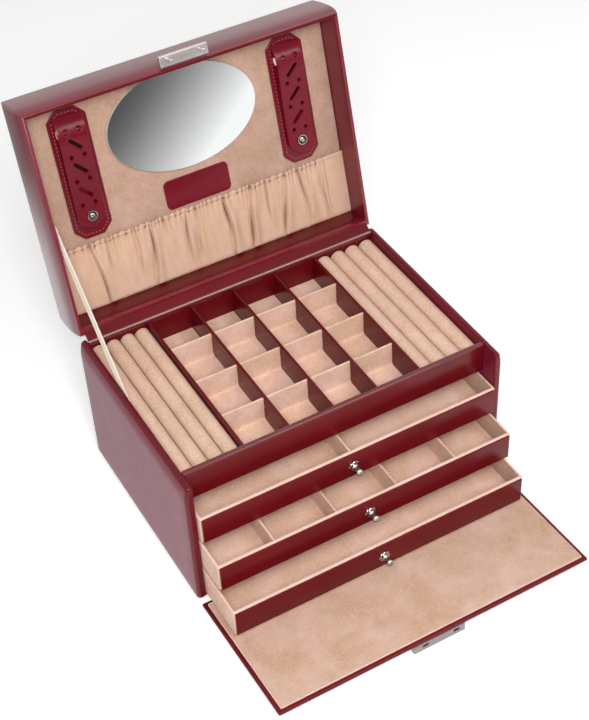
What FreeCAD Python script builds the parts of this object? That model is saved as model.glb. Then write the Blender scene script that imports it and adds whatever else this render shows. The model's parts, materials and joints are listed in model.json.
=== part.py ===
import FreeCAD, Part
import math
import os

os.makedirs("parts", exist_ok=True)
V = FreeCAD.Vector

# Driving dimensions in millimetres. X runs along the front, the front faces -Y, Z is up from the table.
case_w = 290.0
case_d = 200.0
case_h = 131.0
foot_h = 6.5
plinth_inset = 12.0
plinth_front_inset = 20.0
plinth_corner = 4.0
side_t = 6.0
side_round = 2.5
back_t = 5.0
back_inset = 1.6
base_t = 3.5
base_front_inset = 2.1
shelf_t = 4.0
deck_t = 3.0
rail_t = 5.0
rail_setback = 16.0
rail_round = 1.6
rail_lap = 1.0
bay_heights = (29.7, 28.3, 29.5)

# Tray
partition_t = 2.6
partition_round = 0.8
partition_drop = 3.2
partition_pitch = 40.8
partition_shift = -2.2
cross_t = 2.0
cross_drop = 5.0
cross_places = (54.0, 8.4, -37.4)
floor_pad_t = 1.2
cove_r = 5.0
cell_gap = 0.15
rolls_a_side = 4
roll_drop = 5.6
roll_gap = 0.2
roll_end = 2.5
roll_draw = 0.94
roll_crown = 5.7
roll_foot_in = 0.5
roll_neck_in = 0.35

# Drawers, listed from the bottom one up
drawer_gap = 0.7
drawer_run = 0.2
drawer_h = 26.6
drawer_depth = 172.0
drawer_wall = 3.0
drawer_floor = 2.6
drawer_out = (66.1, 45.1, 20.4)
front_t = 1.4
front_side_margin = 1.4
front_top_margin = 0.8
front_low_margin = 0.3
divider_t = 2.0
divider_drop = 2.4
middle_divider_pitch = 57.0
knob_drop = 1.5
knob_ball_r = 3.3
knob_waist_r = 1.8
knob_base_r = 2.8
knob_len = 9.6
rosette_r = 3.9
rosette_lobe_r = 1.45
rosette_lobes = 8
rosette_t = 1.5

# Lid, drawn closed and then turned open
lid_side_inset = 0.5
lid_overhang = 1.6
lid_h = 53.0
lid_wall = 5.0
lid_top_t = 14.0
lid_crown = 2.0
lid_round = 7.0
lid_corner = 3.0
crown_tolerance = 0.00002
lid_gap = 0.3
lid_open_deg = 104.2
lining_t = 10.0
lining_gap = 0.2
mirror_a = 69.2
mirror_b = 45.0
mirror_t = 3.0
mirror_shift = -2.5
mirror_from_front = 49.3
label_w = 61.5
label_h = 26.5
label_t = 1.2
label_corner = 5.0
label_shift = -1.5
label_from_front = 114.0
pocket_hem_from_front = 129.0
pocket_cloth = 1.2
pocket_off_hem = 1.8
pocket_off_low = 2.6
pocket_puff_hem = 2.0
pocket_puff_low = 2.4
pocket_folds_hem = (-105.5, -92.0, -65.4, -50.4, -36.8, -16.8, -8.3, 20.0, 47.7, 61.1, 80.4, 95.7, 118.0)
pocket_folds_low = (-100.0, -88.0, -63.8, -53.9, -34.2, -19.5, -8.0, 22.6, 39.0, 62.2, 74.0, 99.3, 119.0)

# Earring straps
strap_inset = 39.0
plate_w = 34.6
plate_len = 115.0
plate_from_front = 10.0
plate_t = 1.8
plate_chamfer = 8.5
strap_w = 25.4
strap_t = 1.6
strap_len = 95.0
strap_from_front = 20.5
strap_flat_len = 20.5
strap_lift = 3.0
strap_root_gap = 0.1
bulge_from_top = 8.5
bulge_clear = 0.5
strap_roll_r = 3.5
strap_roll_l = 24.4
strap_roll_sink = 0.3
stud_from_tip = 11.7
stud_cap_r = 4.7
stud_cap_h = 2.2
stud_edge_h = 0.8
stud_post_r = 3.0
stud_gap = 0.3
hole_r = 2.0
hole_pair = 11.5
hole_pitch = 21.8
hole_from_top = 7.1
hole_rows = 4
slot_len = 14.0
slot_w = 3.0
slot_deg = 45.0

# Hook plate on the lid, lock with its bolt and key barrel on the flap
lock_w = 43.5
lock_d = 9.6
lock_h = 3.6
lock_lift = 0.3
lock_round = 0.8
hook_x = 14.6
hook_out = 5.95
hook_t = 2.0
hook_drop = 5.4
hook_toe = 2.6
hook_toe_h = 1.6
catch_w = 48.0
catch_d = 8.0
catch_h = 16.0
catch_slot_d = 2.6
catch_slot_deep = 9.0
catch_face_t = 1.2
bolt_w = 39.0
bolt_d = 4.4
bolt_t = 1.2
bolt_clear = 0.3
bolt_travel = 2.7
barrel_r = 3.4
barrel_low = 10.2
barrel_deep = 2.4
barrel_sink = 0.1
barrel_fit = 0.05
keyway_w = 1.6
keyway_l = 4.6
keyway_deep = 1.4

# Flap, drawn closed and then laid open on its catch box
flap_t = 4.0
flap_gap = 0.3
flap_top_gap = 0.3
flap_axis_drop = 1.3
flap_hinge_clear = 2.0
flap_border = 3.5
flap_inlay_t = 1.2
flap_round = 1.2
floor_gap = 0.05

# Butt hinges
hinge_l = 60.0
hinge_x = 80.0
hinge_leaf_t = 0.8
hinge_leaf_h = 13.0
hinge_knuckle_r = 1.5
hinge_pin_r = 0.8
hinge_fit = 0.05
hinge_clear = 0.3
hinge_stand = 0.5

# Leather strip inside the lid hinge, from the back panel's edge to the lid's rear wall
strip_t = 0.8
strip_seat = 1.0
strip_side_gap = 0.2
strip_down = 1.9
strip_on_case = 2.4
strip_on_lid = 2.2

# Ribbon lid stay
ribbon_w = 14.5
ribbon_t = 0.6
ribbon_lid_b = 92.7
ribbon_lid_w = 3.0
ribbon_case_y = 17.6
ribbon_case_drop = 8.0

# Levels and places that follow
z0 = foot_h
z_top = foot_h + case_h
half_w = case_w / 2
half_d = case_d / 2
in_x = half_w - side_t
back_out = half_d - back_inset
back_in = back_out - back_t
base_top = z0 + base_t
shelf_low_z = base_top + bay_heights[0]
shelf_high_z = shelf_low_z + shelf_t + bay_heights[1]
deck_z = shelf_high_z + shelf_t + bay_heights[2]
deck_top = deck_z + deck_t
rail_front = -half_d + rail_setback
rail_back = rail_front + rail_t
bay_floor = (base_top, shelf_low_z + shelf_t, shelf_high_z + shelf_t)
leaf_plane = -hinge_knuckle_r - hinge_stand
lid_axis_y = back_out - leaf_plane
lid_axis_z = z_top + lid_gap / 2
lid_rear = lid_axis_y - back_out
lid_front = lid_axis_y + half_d + lid_overhang
lid_w = case_w - 2 * lid_side_inset
in_half = lid_w / 2 - lid_wall
in_front = lid_front - lid_wall
flap_axis_y = -half_d - flap_gap
flap_axis_z = z0 - flap_axis_drop

# Places inside the lid, from its front wall and its side walls
mirror_place = in_front - mirror_from_front
label_place = in_front - label_from_front
pocket_hem = in_front - pocket_hem_from_front
plate_high = in_front - plate_from_front
plate_low = plate_high - plate_len
strap_x = in_half - strap_inset
strap_top = in_front - strap_from_front
strap_low = strap_top - strap_len
strap_flat_end = strap_low + strap_flat_len
bulge_place = strap_top - bulge_from_top
stud_place = strap_low + stud_from_tip
hole_first = strap_top - hole_from_top


def box(x0, x1, y0, y1, z0_, z1):
    return Part.makeBox(x1 - x0, y1 - y0, z1 - z0_, V(x0, y0, z0_))


def fillet_where(shape, radius, test):
    edges = [e for e in shape.Edges if test(e)]
    return shape.makeFillet(radius, edges)


def runs_along(edge, axis):
    box_ = edge.BoundBox
    spans = (box_.XLength, box_.YLength, box_.ZLength)
    return all(s < 1e-6 for i, s in enumerate(spans) if i != axis)


def middle(edge):
    return edge.BoundBox.Center


def prism(points, along):
    wire = Part.makePolygon(points + points[:1])
    return Part.Face(wire).extrude(along)


def arc(a, m, b):
    return Part.Arc(a, m, b).toShape()


def line(a, b):
    return Part.LineSegment(a, b).toShape()


def write(name, *shapes):
    shape = shapes[0] if len(shapes) == 1 else Part.makeCompound(list(shapes))
    shape.exportStep("parts/" + name + ".step")


def lid_point(a, b, w):
    return V(a, lid_axis_y - b, lid_axis_z + w)


def open_lid_point(a, b, w):
    turn = math.radians(lid_open_deg)
    y = lid_axis_y - b * math.cos(turn) + w * math.sin(turn)
    return V(a, y, lid_axis_z + b * math.sin(turn) + w * math.cos(turn))


def lid_box(a0, a1, b0, b1, w0, w1):
    return box(a0, a1, lid_axis_y - b1, lid_axis_y - b0, lid_axis_z + w0, lid_axis_z + w1)


def opened_lid(shape):
    turned = shape.copy()
    turned.rotate(V(0, lid_axis_y, lid_axis_z), V(1, 0, 0), -lid_open_deg)
    return turned


# The catch box under the flap's front edge rests on the table and tilts the flap a little.
catch_reach = z_top - flap_top_gap - catch_h - flap_axis_z
catch_depth = flap_t + catch_d
flap_tilt = math.atan2(catch_depth, catch_reach) - math.asin(
    (flap_axis_z - floor_gap) / math.hypot(catch_reach, catch_depth)
)
flap_open_deg = 90.0 - math.degrees(flap_tilt)


def opened_flap(shape):
    turned = shape.copy()
    turned.rotate(V(0, flap_axis_y, flap_axis_z), V(1, 0, 0), flap_open_deg)
    return turned


def butt_hinge(x, fixed_plane):
    """Leaves and pin about the X axis; the fixed leaf hangs down with its far face at y = fixed_plane."""
    third = hinge_l / 3
    x_start = x - hinge_l / 2

    def knuckle(i):
        x_a = x_start + i * third + hinge_clear / 2
        return Part.makeCylinder(hinge_knuckle_r, third - hinge_clear, V(x_a, 0, 0), V(1, 0, 0))

    def leaf(sign, order, y_far):
        nearest = max(0.0, y_far, -y_far - hinge_leaf_t)
        reach = hinge_knuckle_r + hinge_clear
        root = math.sqrt(max(0.0, reach * reach - nearest * nearest))
        z_root, z_end = sorted((sign * root, sign * (root + hinge_leaf_h)))
        solid = box(x_start, x_start + hinge_l, y_far, y_far + hinge_leaf_t, z_root, z_end)
        for i in order:
            z_a, z_b = sorted((0.0, sign * root))
            x_a = x_start + i * third + hinge_clear / 2
            tab = box(x_a, x_a + third - hinge_clear, y_far, y_far + hinge_leaf_t, z_a, z_b)
            solid = solid.fuse([knuckle(i), tab])
        bore = Part.makeCylinder(hinge_pin_r + hinge_fit, hinge_l + 2, V(x_start - 1, 0, 0), V(1, 0, 0))
        return solid.cut(bore).removeSplitter()

    pin = Part.makeCylinder(hinge_pin_r, hinge_l, V(x_start, 0, 0), V(1, 0, 0))
    return leaf(-1, (0, 2), fixed_plane), leaf(1, (1,), leaf_plane), pin


# Carcass on a plinth set in from its edges
plinth_half = half_w - plinth_inset
plinth = box(-plinth_half, plinth_half, -half_d + plinth_front_inset, half_d - plinth_inset, 0, z0)
write("plinth", fillet_where(plinth, plinth_corner, lambda e: runs_along(e, 2)))
write("base_board", box(-in_x, in_x, -half_d + base_front_inset, back_in, z0, base_top))


def side_panel(sign):
    x_a, x_b = sorted((sign * in_x, sign * half_w))
    panel = box(x_a, x_b, -half_d, half_d, z0, z_top)

    def soft(edge):
        spot = middle(edge)
        at_top = abs(spot.z - z_top) < 1e-6
        at_front = abs(spot.y + half_d) < 1e-6
        at_back = abs(spot.y - half_d) < 1e-6
        at_outside = abs(spot.x - sign * half_w) < 1e-6
        upright = runs_along(edge, 2)
        return (at_top and not at_back) or (upright and at_front) or (at_back and at_outside)

    return fillet_where(panel, min(side_round, 0.45 * side_t), soft)


write("left_side_panel", side_panel(-1))
write("right_side_panel", side_panel(1))
write("back_panel", box(-in_x, in_x, back_in, back_out, z0, z_top - strip_seat))
write("lower_shelf", box(-in_x, in_x, rail_front, back_in, shelf_low_z, shelf_low_z + shelf_t))
write("upper_shelf", box(-in_x, in_x, rail_front, back_in, shelf_high_z, shelf_high_z + shelf_t))
write("tray_deck", box(-in_x, in_x, rail_back, back_in, deck_z, deck_top))

rail = box(-in_x, in_x, rail_front, rail_back, deck_top - rail_lap, z_top)
rail = fillet_where(rail, rail_round, lambda e: runs_along(e, 0) and abs(middle(e).z - z_top) < 1e-6)
write("tray_front_rail", rail)

# Tray partitions, floors and cross dividers
partition_x = [partition_shift + (i - 2) * partition_pitch for i in range(5)]
partition_top = z_top - partition_drop


def partition_edge(edge):
    return runs_along(edge, 1) and abs(middle(edge).z - partition_top) < 1e-6


partitions = []
for x in partition_x:
    wall = box(x - partition_t / 2, x + partition_t / 2, rail_back, back_in, deck_top, partition_top)
    partitions.append(fillet_where(wall, min(partition_round, 0.45 * partition_t), partition_edge))
write("tray_partitions", *partitions)

cross_top = z_top - cross_drop
pad_top = deck_top + floor_pad_t
for i in range(4):
    x_a = partition_x[i] + partition_t / 2 + cell_gap
    x_b = partition_x[i + 1] - partition_t / 2 - cell_gap
    floors = [box(x_a, x_b, rail_back, back_in, deck_top, pad_top)]
    walls = []
    for y in cross_places:
        walls.append(box(x_a, x_b, y - cross_t / 2, y + cross_t / 2, pad_top, cross_top))
        foot_line = y - cross_t / 2
        corner = V(x_a, foot_line, pad_top)
        high = V(x_a, foot_line, pad_top + cove_r)
        low = V(x_a, foot_line - cove_r, pad_top)
        dip = cove_r * (1 - math.sqrt(0.5))
        hollow = arc(high, V(x_a, foot_line - dip, pad_top + dip), low)
        section = Part.Wire([line(corner, high), hollow, line(low, corner)])
        floors.append(Part.Face(section).extrude(V(x_b - x_a, 0, 0)))
    write("cell_floor_%d" % (i + 1), *floors)
    write("cross_dividers_%d" % (i + 1), *walls)

# Ring rolls: crowned cushions, drawn in at the foot and at both ends
roll_h = z_top - roll_drop - deck_top


def roll_section(x, width, y, share):
    half = width / 2 * share
    height = roll_h * (0.5 + 0.5 * share)
    foot_half = half - roll_foot_in
    neck_half = half - roll_neck_in
    neck = height - roll_crown
    left_foot = V(x - foot_half, y, deck_top)
    right_foot = V(x + foot_half, y, deck_top)
    left_neck = V(x - neck_half, y, deck_top + neck)
    right_neck = V(x + neck_half, y, deck_top + neck)
    return Part.Wire([
        arc(left_foot, V(x - half, y, deck_top + neck / 2), left_neck),
        arc(left_neck, V(x, y, deck_top + height), right_neck),
        arc(right_neck, V(x + half, y, deck_top + neck / 2), right_foot),
        line(right_foot, left_foot),
    ])


def ring_rolls(x_from, x_to):
    pitch = (x_to - x_from) / rolls_a_side
    width = pitch - roll_gap
    stations = (
        (rail_back, roll_draw), (rail_back + roll_end, 1.0),
        (back_in - roll_end, 1.0), (back_in, roll_draw),
    )
    rolls = []
    for i in range(rolls_a_side):
        x = x_from + (i + 0.5) * pitch
        sections = [roll_section(x, width, y, share) for y, share in stations]
        rolls.append(Part.makeLoft(sections, True, True))
    return rolls


write("ring_rolls_left", *ring_rolls(-in_x, partition_x[0] - partition_t / 2))
write("ring_rolls_right", *ring_rolls(partition_x[4] + partition_t / 2, in_x))

# Drawers
drawer_half = in_x - drawer_gap
drawer_names = ("drawer_low", "drawer_mid", "drawer_top")
divider_places = (
    (),
    tuple((i - 1.5) * middle_divider_pitch for i in range(4)),
    (0.0,),
)


def knob_shape(y, z):
    ball_mid = knob_len - knob_ball_r
    lift = knob_waist_r / knob_ball_r
    meet = ball_mid - knob_ball_r * math.sqrt(1 - lift * lift)
    base = V(knob_base_r, 0, 0)
    waist = V(knob_waist_r, 0, meet)
    tip = V(0, 0, knob_len)
    flare = arc(base, V(knob_waist_r + 0.25, 0, meet * 0.4), waist)
    ball = arc(waist, V(knob_ball_r, 0, ball_mid), tip)
    section = Part.Wire([flare, ball, line(tip, V(0, 0, 0)), line(V(0, 0, 0), base)])
    solid = Part.Face(section).revolve(V(0, 0, 0), V(0, 0, 1), 360)
    solid.rotate(V(0, 0, 0), V(1, 0, 0), 90)
    solid.translate(V(0, y, z))
    return solid


def rosette_shape(y, z):
    disc = Part.makeCylinder(rosette_r, rosette_t, V(0, y, z), V(0, -1, 0))
    lobes = []
    for i in range(rosette_lobes):
        turn = 2 * math.pi * i / rosette_lobes
        centre = V(rosette_r * math.cos(turn), y, z + rosette_r * math.sin(turn))
        lobes.append(Part.makeCylinder(rosette_lobe_r, rosette_t, centre, V(0, -1, 0)))
    return disc.fuse(lobes).removeSplitter()


for name, floor, out, dividers in zip(drawer_names, bay_floor, drawer_out, divider_places):
    z_a = floor + drawer_run
    z_b = z_a + drawer_h
    y_face = rail_front - out
    y_a = y_face + front_t
    y_b = y_a + drawer_depth
    inner = drawer_half - drawer_wall
    boards = [
        box(-drawer_half, drawer_half, y_a, y_a + drawer_wall, z_a, z_b),
        box(-drawer_half, drawer_half, y_b - drawer_wall, y_b, z_a, z_b),
        box(-drawer_half, -inner, y_a + drawer_wall, y_b - drawer_wall, z_a, z_b),
        box(inner, drawer_half, y_a + drawer_wall, y_b - drawer_wall, z_a, z_b),
        box(-inner, inner, y_a + drawer_wall, y_b - drawer_wall, z_a, z_a + drawer_floor),
    ]
    write(name + "_box", *boards)
    face_half = drawer_half - front_side_margin
    leather = box(-face_half, face_half, y_face, y_a, z_a + front_low_margin, z_b - front_top_margin)
    write(name + "_front", leather)
    knob_z = (z_a + z_b) / 2 - knob_drop
    write(name + "_rosette", rosette_shape(y_face, knob_z))
    write(name + "_knob", knob_shape(y_face - rosette_t, knob_z))
    if dividers:
        walls = []
        for x in dividers:
            y_in, y_out = y_a + drawer_wall, y_b - drawer_wall
            low, high = z_a + drawer_floor, z_b - divider_drop
            walls.append(box(x - divider_t / 2, x + divider_t / 2, y_in, y_out, low, high))
        write(name + "_dividers", *walls)

# Lid shell: a crowned, softly edged block, hollowed into a top board and four walls
lid_half = lid_w / 2
rim = lid_gap / 2
lid_mid_b = (lid_rear + lid_front) / 2
lid_len = lid_front - lid_rear


def crowned_outline(half, place):
    shoulder = lid_h - lid_crown
    corner = lid_round * (1 - math.sqrt(0.5))
    points = (
        (-half, rim), (-half, shoulder - lid_round), (-half + corner, shoulder - corner),
        (-half + lid_round, shoulder), (0, lid_h), (half - lid_round, shoulder),
        (half - corner, shoulder - corner), (half, shoulder - lid_round), (half, rim),
    )
    p = [place(u, w) for u, w in points]
    return Part.Face(Part.Wire([
        line(p[0], p[1]), arc(p[1], p[2], p[3]), arc(p[3], p[4], p[5]),
        arc(p[5], p[6], p[7]), line(p[7], p[8]), line(p[8], p[0]),
    ]))


across = crowned_outline(lid_half, lambda u, w: lid_point(u, lid_rear, w))
along = crowned_outline(lid_len / 2, lambda u, w: lid_point(-lid_half, lid_mid_b + u, w))
plan = lid_box(-lid_half, lid_half, lid_rear, lid_front, rim, lid_h + 1)
plan = fillet_where(plan, lid_corner, lambda e: runs_along(e, 2))
# the two crowns touch at one point, where their crossing needs a tolerance
lid_block = across.extrude(V(0, -lid_len, 0)).common([along.extrude(V(lid_w, 0, 0))], crown_tolerance)
lid_block = lid_block.common(plan)

lid_deep = lid_h - lid_top_t
in_rear = lid_rear + lid_wall
far = lid_half + 1
lid_boards = [
    lid_block.common(lid_box(-far, far, lid_rear - 1, lid_front + 1, lid_deep, lid_h + 1)),
    lid_block.common(lid_box(-far, far, lid_rear - 1, in_rear, rim + strip_seat, lid_deep)),
    lid_block.common(lid_box(-far, far, in_front, lid_front + 1, rim, lid_deep)),
    lid_block.common(lid_box(-far, -in_half, in_rear, in_front, rim, lid_deep)),
    lid_block.common(lid_box(in_half, far, in_rear, in_front, rim, lid_deep)),
]
write("lid_shell", *[opened_lid(b.Solids[0]) for b in lid_boards])

lining_w = lid_deep - lining_t
lining_low = in_rear + strip_t + lining_gap
lining_half = in_half - lining_gap
lining = lid_box(-lining_half, lining_half, lining_low, in_front - lining_gap, lining_w, lid_deep)
write("lid_lining", opened_lid(lining))

centre = lid_point(mirror_shift, mirror_place, lining_w - mirror_t)
oval = Part.Ellipse(centre, mirror_a, mirror_b).toShape()
write("mirror", opened_lid(Part.Face(Part.Wire(oval)).extrude(V(0, 0, mirror_t))))

label_a0, label_b0 = label_shift - label_w / 2, label_place - label_h / 2
label = lid_box(label_a0, label_a0 + label_w, label_b0, label_b0 + label_h, lining_w - label_t, lining_w)
write("label_patch", opened_lid(fillet_where(label, label_corner, lambda e: runs_along(e, 2))))


# Pocket: cloth that puffs out between the folds, gathered at the hem and sewn to the lid walls
def pocket_section(folds, b, off, puff):
    back_w = lining_w - off
    face_w = back_w - pocket_cloth
    stops = [-in_half] + list(folds) + [in_half]
    edges = []
    for a0, a1 in zip(stops, stops[1:]):
        crest = lid_point((a0 + a1) / 2, b, face_w - puff)
        edges.append(arc(lid_point(a0, b, face_w), crest, lid_point(a1, b, face_w)))
    corners = [lid_point(in_half, b, face_w), lid_point(in_half, b, back_w)]
    corners += [lid_point(-in_half, b, back_w), lid_point(-in_half, b, face_w)]
    edges += [line(p, q) for p, q in zip(corners, corners[1:])]
    return Part.Wire(edges)


hem = pocket_section(pocket_folds_hem, pocket_hem, pocket_off_hem, pocket_puff_hem)
low = pocket_section(pocket_folds_low, lining_low, pocket_off_low, pocket_puff_low)
write("lid_pocket", opened_lid(Part.makeLoft([low, hem], True, True)))

# Earring straps on eight-sided plates
plate_face = lining_w - plate_t


def plate_shape(a):
    half, cut = plate_w / 2, plate_chamfer
    outline = [
        (a - half + cut, plate_low), (a + half - cut, plate_low), (a + half, plate_low + cut),
        (a + half, plate_high - cut), (a + half - cut, plate_high), (a - half + cut, plate_high),
        (a - half, plate_high - cut), (a - half, plate_low + cut),
    ]
    return prism([lid_point(u, v, plate_face) for u, v in outline], V(0, 0, plate_t))


strap_under = plate_face - strap_lift
crest_w = plate_face - strap_roll_sink - 2 * strap_roll_r - bulge_clear + 2 * strap_roll_sink


def strap_shape(a, lean):
    a0 = a - strap_w / 2
    t = strap_t
    root_low = plate_face - strap_root_gap
    root_high = root_low - t
    mid_b = (bulge_place + strap_flat_end) / 2
    mid_w = crest_w + (strap_under - crest_w) * 0.62

    def p(b, w):
        return lid_point(a0, b, w)

    rise_b = bulge_place + (strap_top - bulge_place) * 0.62
    rise_w = crest_w + (root_low - crest_w) * 0.30
    edges = [
        line(p(strap_top, root_low), p(strap_top, root_high)),
        arc(p(strap_top, root_high), p(rise_b + 0.6, rise_w - t), p(bulge_place, crest_w - t)),
        arc(p(bulge_place, crest_w - t), p(mid_b, mid_w - t), p(strap_flat_end, strap_under - t)),
        line(p(strap_flat_end, strap_under - t), p(strap_low, strap_under - t)),
        line(p(strap_low, strap_under - t), p(strap_low, strap_under)),
        line(p(strap_low, strap_under), p(strap_flat_end, strap_under)),
        arc(p(strap_flat_end, strap_under), p(mid_b, mid_w), p(bulge_place, crest_w)),
        arc(p(bulge_place, crest_w), p(rise_b - 0.6, rise_w), p(strap_top, root_low)),
    ]
    strap = Part.Face(Part.Wire(edges)).extrude(V(strap_w, 0, 0))
    top_w = crest_w - 2 * t
    deep = plate_face - top_w
    end_r = strap_w / 2
    keep = lid_box(a0, a0 + strap_w, strap_low + end_r, strap_top + 1, top_w, plate_face)
    tip = Part.makeCylinder(end_r, deep, lid_point(a, strap_low + end_r, top_w))
    strap = strap.common(keep.fuse(tip))
    cutters = []
    for row in range(hole_rows):
        b = hole_first - row * hole_pitch
        for side in (-1, 1):
            spot = lid_point(a + side * hole_pair / 2, b, top_w)
            cutters.append(Part.makeCylinder(hole_r, deep, spot))
        if row < hole_rows - 1:
            slot = box(-slot_len / 2, slot_len / 2, -slot_w / 2, slot_w / 2, 0, deep)
            slot.rotate(V(0, 0, 0), V(0, 0, 1), lean * slot_deg)
            slot.translate(lid_point(a, b - hole_pitch / 2, top_w))
            cutters.append(slot)
    return strap.cut(cutters).removeSplitter()


def stud_cap_shape(a):
    dome_h = stud_cap_h - stud_edge_h
    dome_r = (stud_cap_r ** 2 + dome_h ** 2) / (2 * dome_h)
    turn = math.asin(stud_cap_r / dome_r) / 2
    crown = V(0, 0, stud_cap_h)
    shoulder = V(stud_cap_r, 0, stud_edge_h)
    between = V(dome_r * math.sin(turn), 0, stud_cap_h - dome_r * (1 - math.cos(turn)))
    foot = V(stud_cap_r, 0, 0)
    axis_foot = V(0, 0, 0)
    dome = arc(shoulder, between, crown)
    section = Part.Wire([line(axis_foot, foot), line(foot, shoulder), dome, line(crown, axis_foot)])
    cap = Part.Face(section).revolve(V(0, 0, 0), V(0, 0, 1), 360)
    cap.rotate(V(0, 0, 0), V(1, 0, 0), 180)
    cap.translate(lid_point(a, stud_place, strap_under - strap_t))
    return cap


for side, lean in ((-1, 1), (1, -1)):
    a = side * strap_x
    tag = "left" if side < 0 else "right"
    write("strap_plate_" + tag, opened_lid(plate_shape(a)))
    write("strap_" + tag, opened_lid(strap_shape(a, lean)))
    write("stud_cap_" + tag, opened_lid(stud_cap_shape(a)))
    post_top = strap_under + stud_gap
    post = Part.makeCylinder(stud_post_r, plate_face - post_top, lid_point(a, stud_place, post_top))
    roll_start = lid_point(a - strap_roll_l / 2, bulge_place, plate_face - strap_roll_r + strap_roll_sink)
    roll = Part.makeCylinder(strap_roll_r, strap_roll_l, roll_start, V(1, 0, 0))
    roll = roll.common(lid_box(a - strap_w / 2, a + strap_w / 2, plate_low, plate_high, 0, plate_face))
    write("strap_mount_" + tag, opened_lid(post), opened_lid(roll))

# Hook plate on the lid's front wall
lock_b1 = lid_front + lock_d
lock_w0 = rim + lock_lift
hook_b = lid_front + hook_out
hook_plate = lid_box(-lock_w / 2, lock_w / 2, lid_front, lock_b1, lock_w0, lock_w0 + lock_h)
hook_plate = fillet_where(hook_plate, lock_round, lambda e: abs(middle(e).y - (lid_axis_y - lock_b1)) < 1e-6)
half_hook = hook_t / 2
hook_low = lock_w0 - hook_drop
for x in (-hook_x, hook_x):
    stem = lid_box(x - half_hook, x + half_hook, hook_b - half_hook, hook_b + half_hook,
                   hook_low, lock_w0 + 1)
    toe = lid_box(x - half_hook, x + half_hook + hook_toe, hook_b - half_hook, hook_b + half_hook,
                  hook_low, hook_low + hook_toe_h)
    hook_plate = hook_plate.fuse([stem, toe])
write("lock_hook_plate", opened_lid(hook_plate.removeSplitter()))

# Flap: a leather-covered board, a suede inlay on it, the lock under its front edge
flap_in = flap_axis_y
flap_out = flap_axis_y - flap_t
flap_low = flap_axis_z + flap_hinge_clear
flap_high = z_top - flap_top_gap
board = box(-half_w, half_w, flap_out, flap_in - flap_inlay_t, flap_low, flap_high)


def flap_edge(edge):
    outer = abs(middle(edge).y - flap_out) < 1e-6
    upright = runs_along(edge, 1) and middle(edge).z > flap_low + 1
    return outer or upright


board = fillet_where(board, flap_round, flap_edge)
inlay = box(-half_w + flap_border, half_w - flap_border, flap_in - flap_inlay_t, flap_in,
            flap_low + flap_border, flap_high - flap_border)

flap_fixed, flap_moving, flap_pins = [], [], []
lid_fixed, lid_moving, lid_pins = [], [], []
for x in (-hinge_x, hinge_x):
    fixed, moving, pin = butt_hinge(x, leaf_plane)
    for solid, group in ((fixed, lid_fixed), (moving, lid_moving), (pin, lid_pins)):
        solid.translate(V(0, lid_axis_y, lid_axis_z))
        group.append(solid)
    # the fixed leaf of a flap hinge is turned back under the base, the moving leaf lies under the inlay
    fixed, moving, pin = butt_hinge(x, flap_axis_drop - hinge_leaf_t)
    fixed.rotate(V(0, 0, 0), V(1, 0, 0), 90)
    for solid, group in ((fixed, flap_fixed), (moving, flap_moving), (pin, flap_pins)):
        solid.translate(V(0, flap_axis_y, flap_axis_z))
        group.append(solid)
board = board.cut(flap_moving)
write("flap_board", opened_flap(board))
write("flap_inlay", opened_flap(inlay))
write("flap_hinge_flap_leaves", *[opened_flap(s) for s in flap_moving])
write("flap_hinge_case_leaves", *flap_fixed)
write("lid_hinge_case_leaves", *lid_fixed)
write("lid_hinge_lid_leaves", *[opened_lid(s) for s in lid_moving])
write("hinge_pins", *lid_pins, *flap_pins)

# Lock case: two slots for the hooks, a room for the bolt behind them, a seat for the key barrel
hook_y = lid_axis_y - hook_b
slot_from = -half_hook - bolt_clear
slot_to = half_hook + hook_toe + bolt_clear
room_top = flap_high - catch_face_t
room_low = room_top - bolt_t - 2 * bolt_clear
room_half = bolt_d / 2 + bolt_clear
catch = box(-catch_w / 2, catch_w / 2, flap_out - catch_d, flap_out, flap_high - catch_h, flap_high)
room = box(-bolt_w / 2 - bolt_clear - bolt_travel, bolt_w / 2 + bolt_clear,
           hook_y - room_half, hook_y + room_half, room_low, room_top)
bolt = box(-bolt_w / 2, bolt_w / 2, hook_y - bolt_d / 2, hook_y + bolt_d / 2, room_low + bolt_clear,
           room_top - bolt_clear)
half_slot = catch_slot_d / 2
for x in (-hook_x, hook_x):
    slot = box(x + slot_from, x + slot_to, hook_y - half_slot, hook_y + half_slot,
               flap_high - catch_slot_deep, flap_high + 1)
    room = room.fuse(slot)
    bolt = bolt.cut(slot)
barrel_z = flap_high - barrel_low
barrel_face = flap_out - catch_d
barrel_mouth = V(0, barrel_face, barrel_z)
barrel_hole = Part.makeCylinder(barrel_r + barrel_fit, barrel_sink + barrel_deep, barrel_mouth, V(0, 1, 0))
barrel = Part.makeCylinder(barrel_r, barrel_deep, V(0, barrel_face + barrel_sink, barrel_z), V(0, 1, 0))
keyway = box(-keyway_w / 2, keyway_w / 2, barrel_face, barrel_face + barrel_sink + keyway_deep,
             barrel_z - keyway_l / 2, barrel_z + keyway_l / 2)
write("catch_box", opened_flap(catch.cut([room, barrel_hole]).removeSplitter()))
write("lock_bolt", opened_flap(bolt))
write("key_barrel", opened_flap(barrel.cut(keyway)))

# Leather hinge strip: over the back panel's edge, across the joint, round the lid's rear rim and up its wall
strip_half = in_x - strip_side_gap
strip_rim = rim + strip_seat
seat_z = z_top - strip_seat
seat = [
    V(0, back_in, seat_z - strip_down), V(0, back_in, seat_z), V(0, back_in + strip_on_case, seat_z),
    open_lid_point(0, in_rear - strip_on_lid, strip_rim), open_lid_point(0, in_rear, strip_rim),
    open_lid_point(0, in_rear, lining_w - lining_gap),
]


def left_of(p, q):
    along = q.sub(p)
    along.normalize()
    return V(0, -along.z, along.y)


normals = [left_of(p, q) for p, q in zip(seat, seat[1:])]


def face_point(i, normal):
    return seat[i].add(V(normal).multiply(strip_t))


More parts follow.
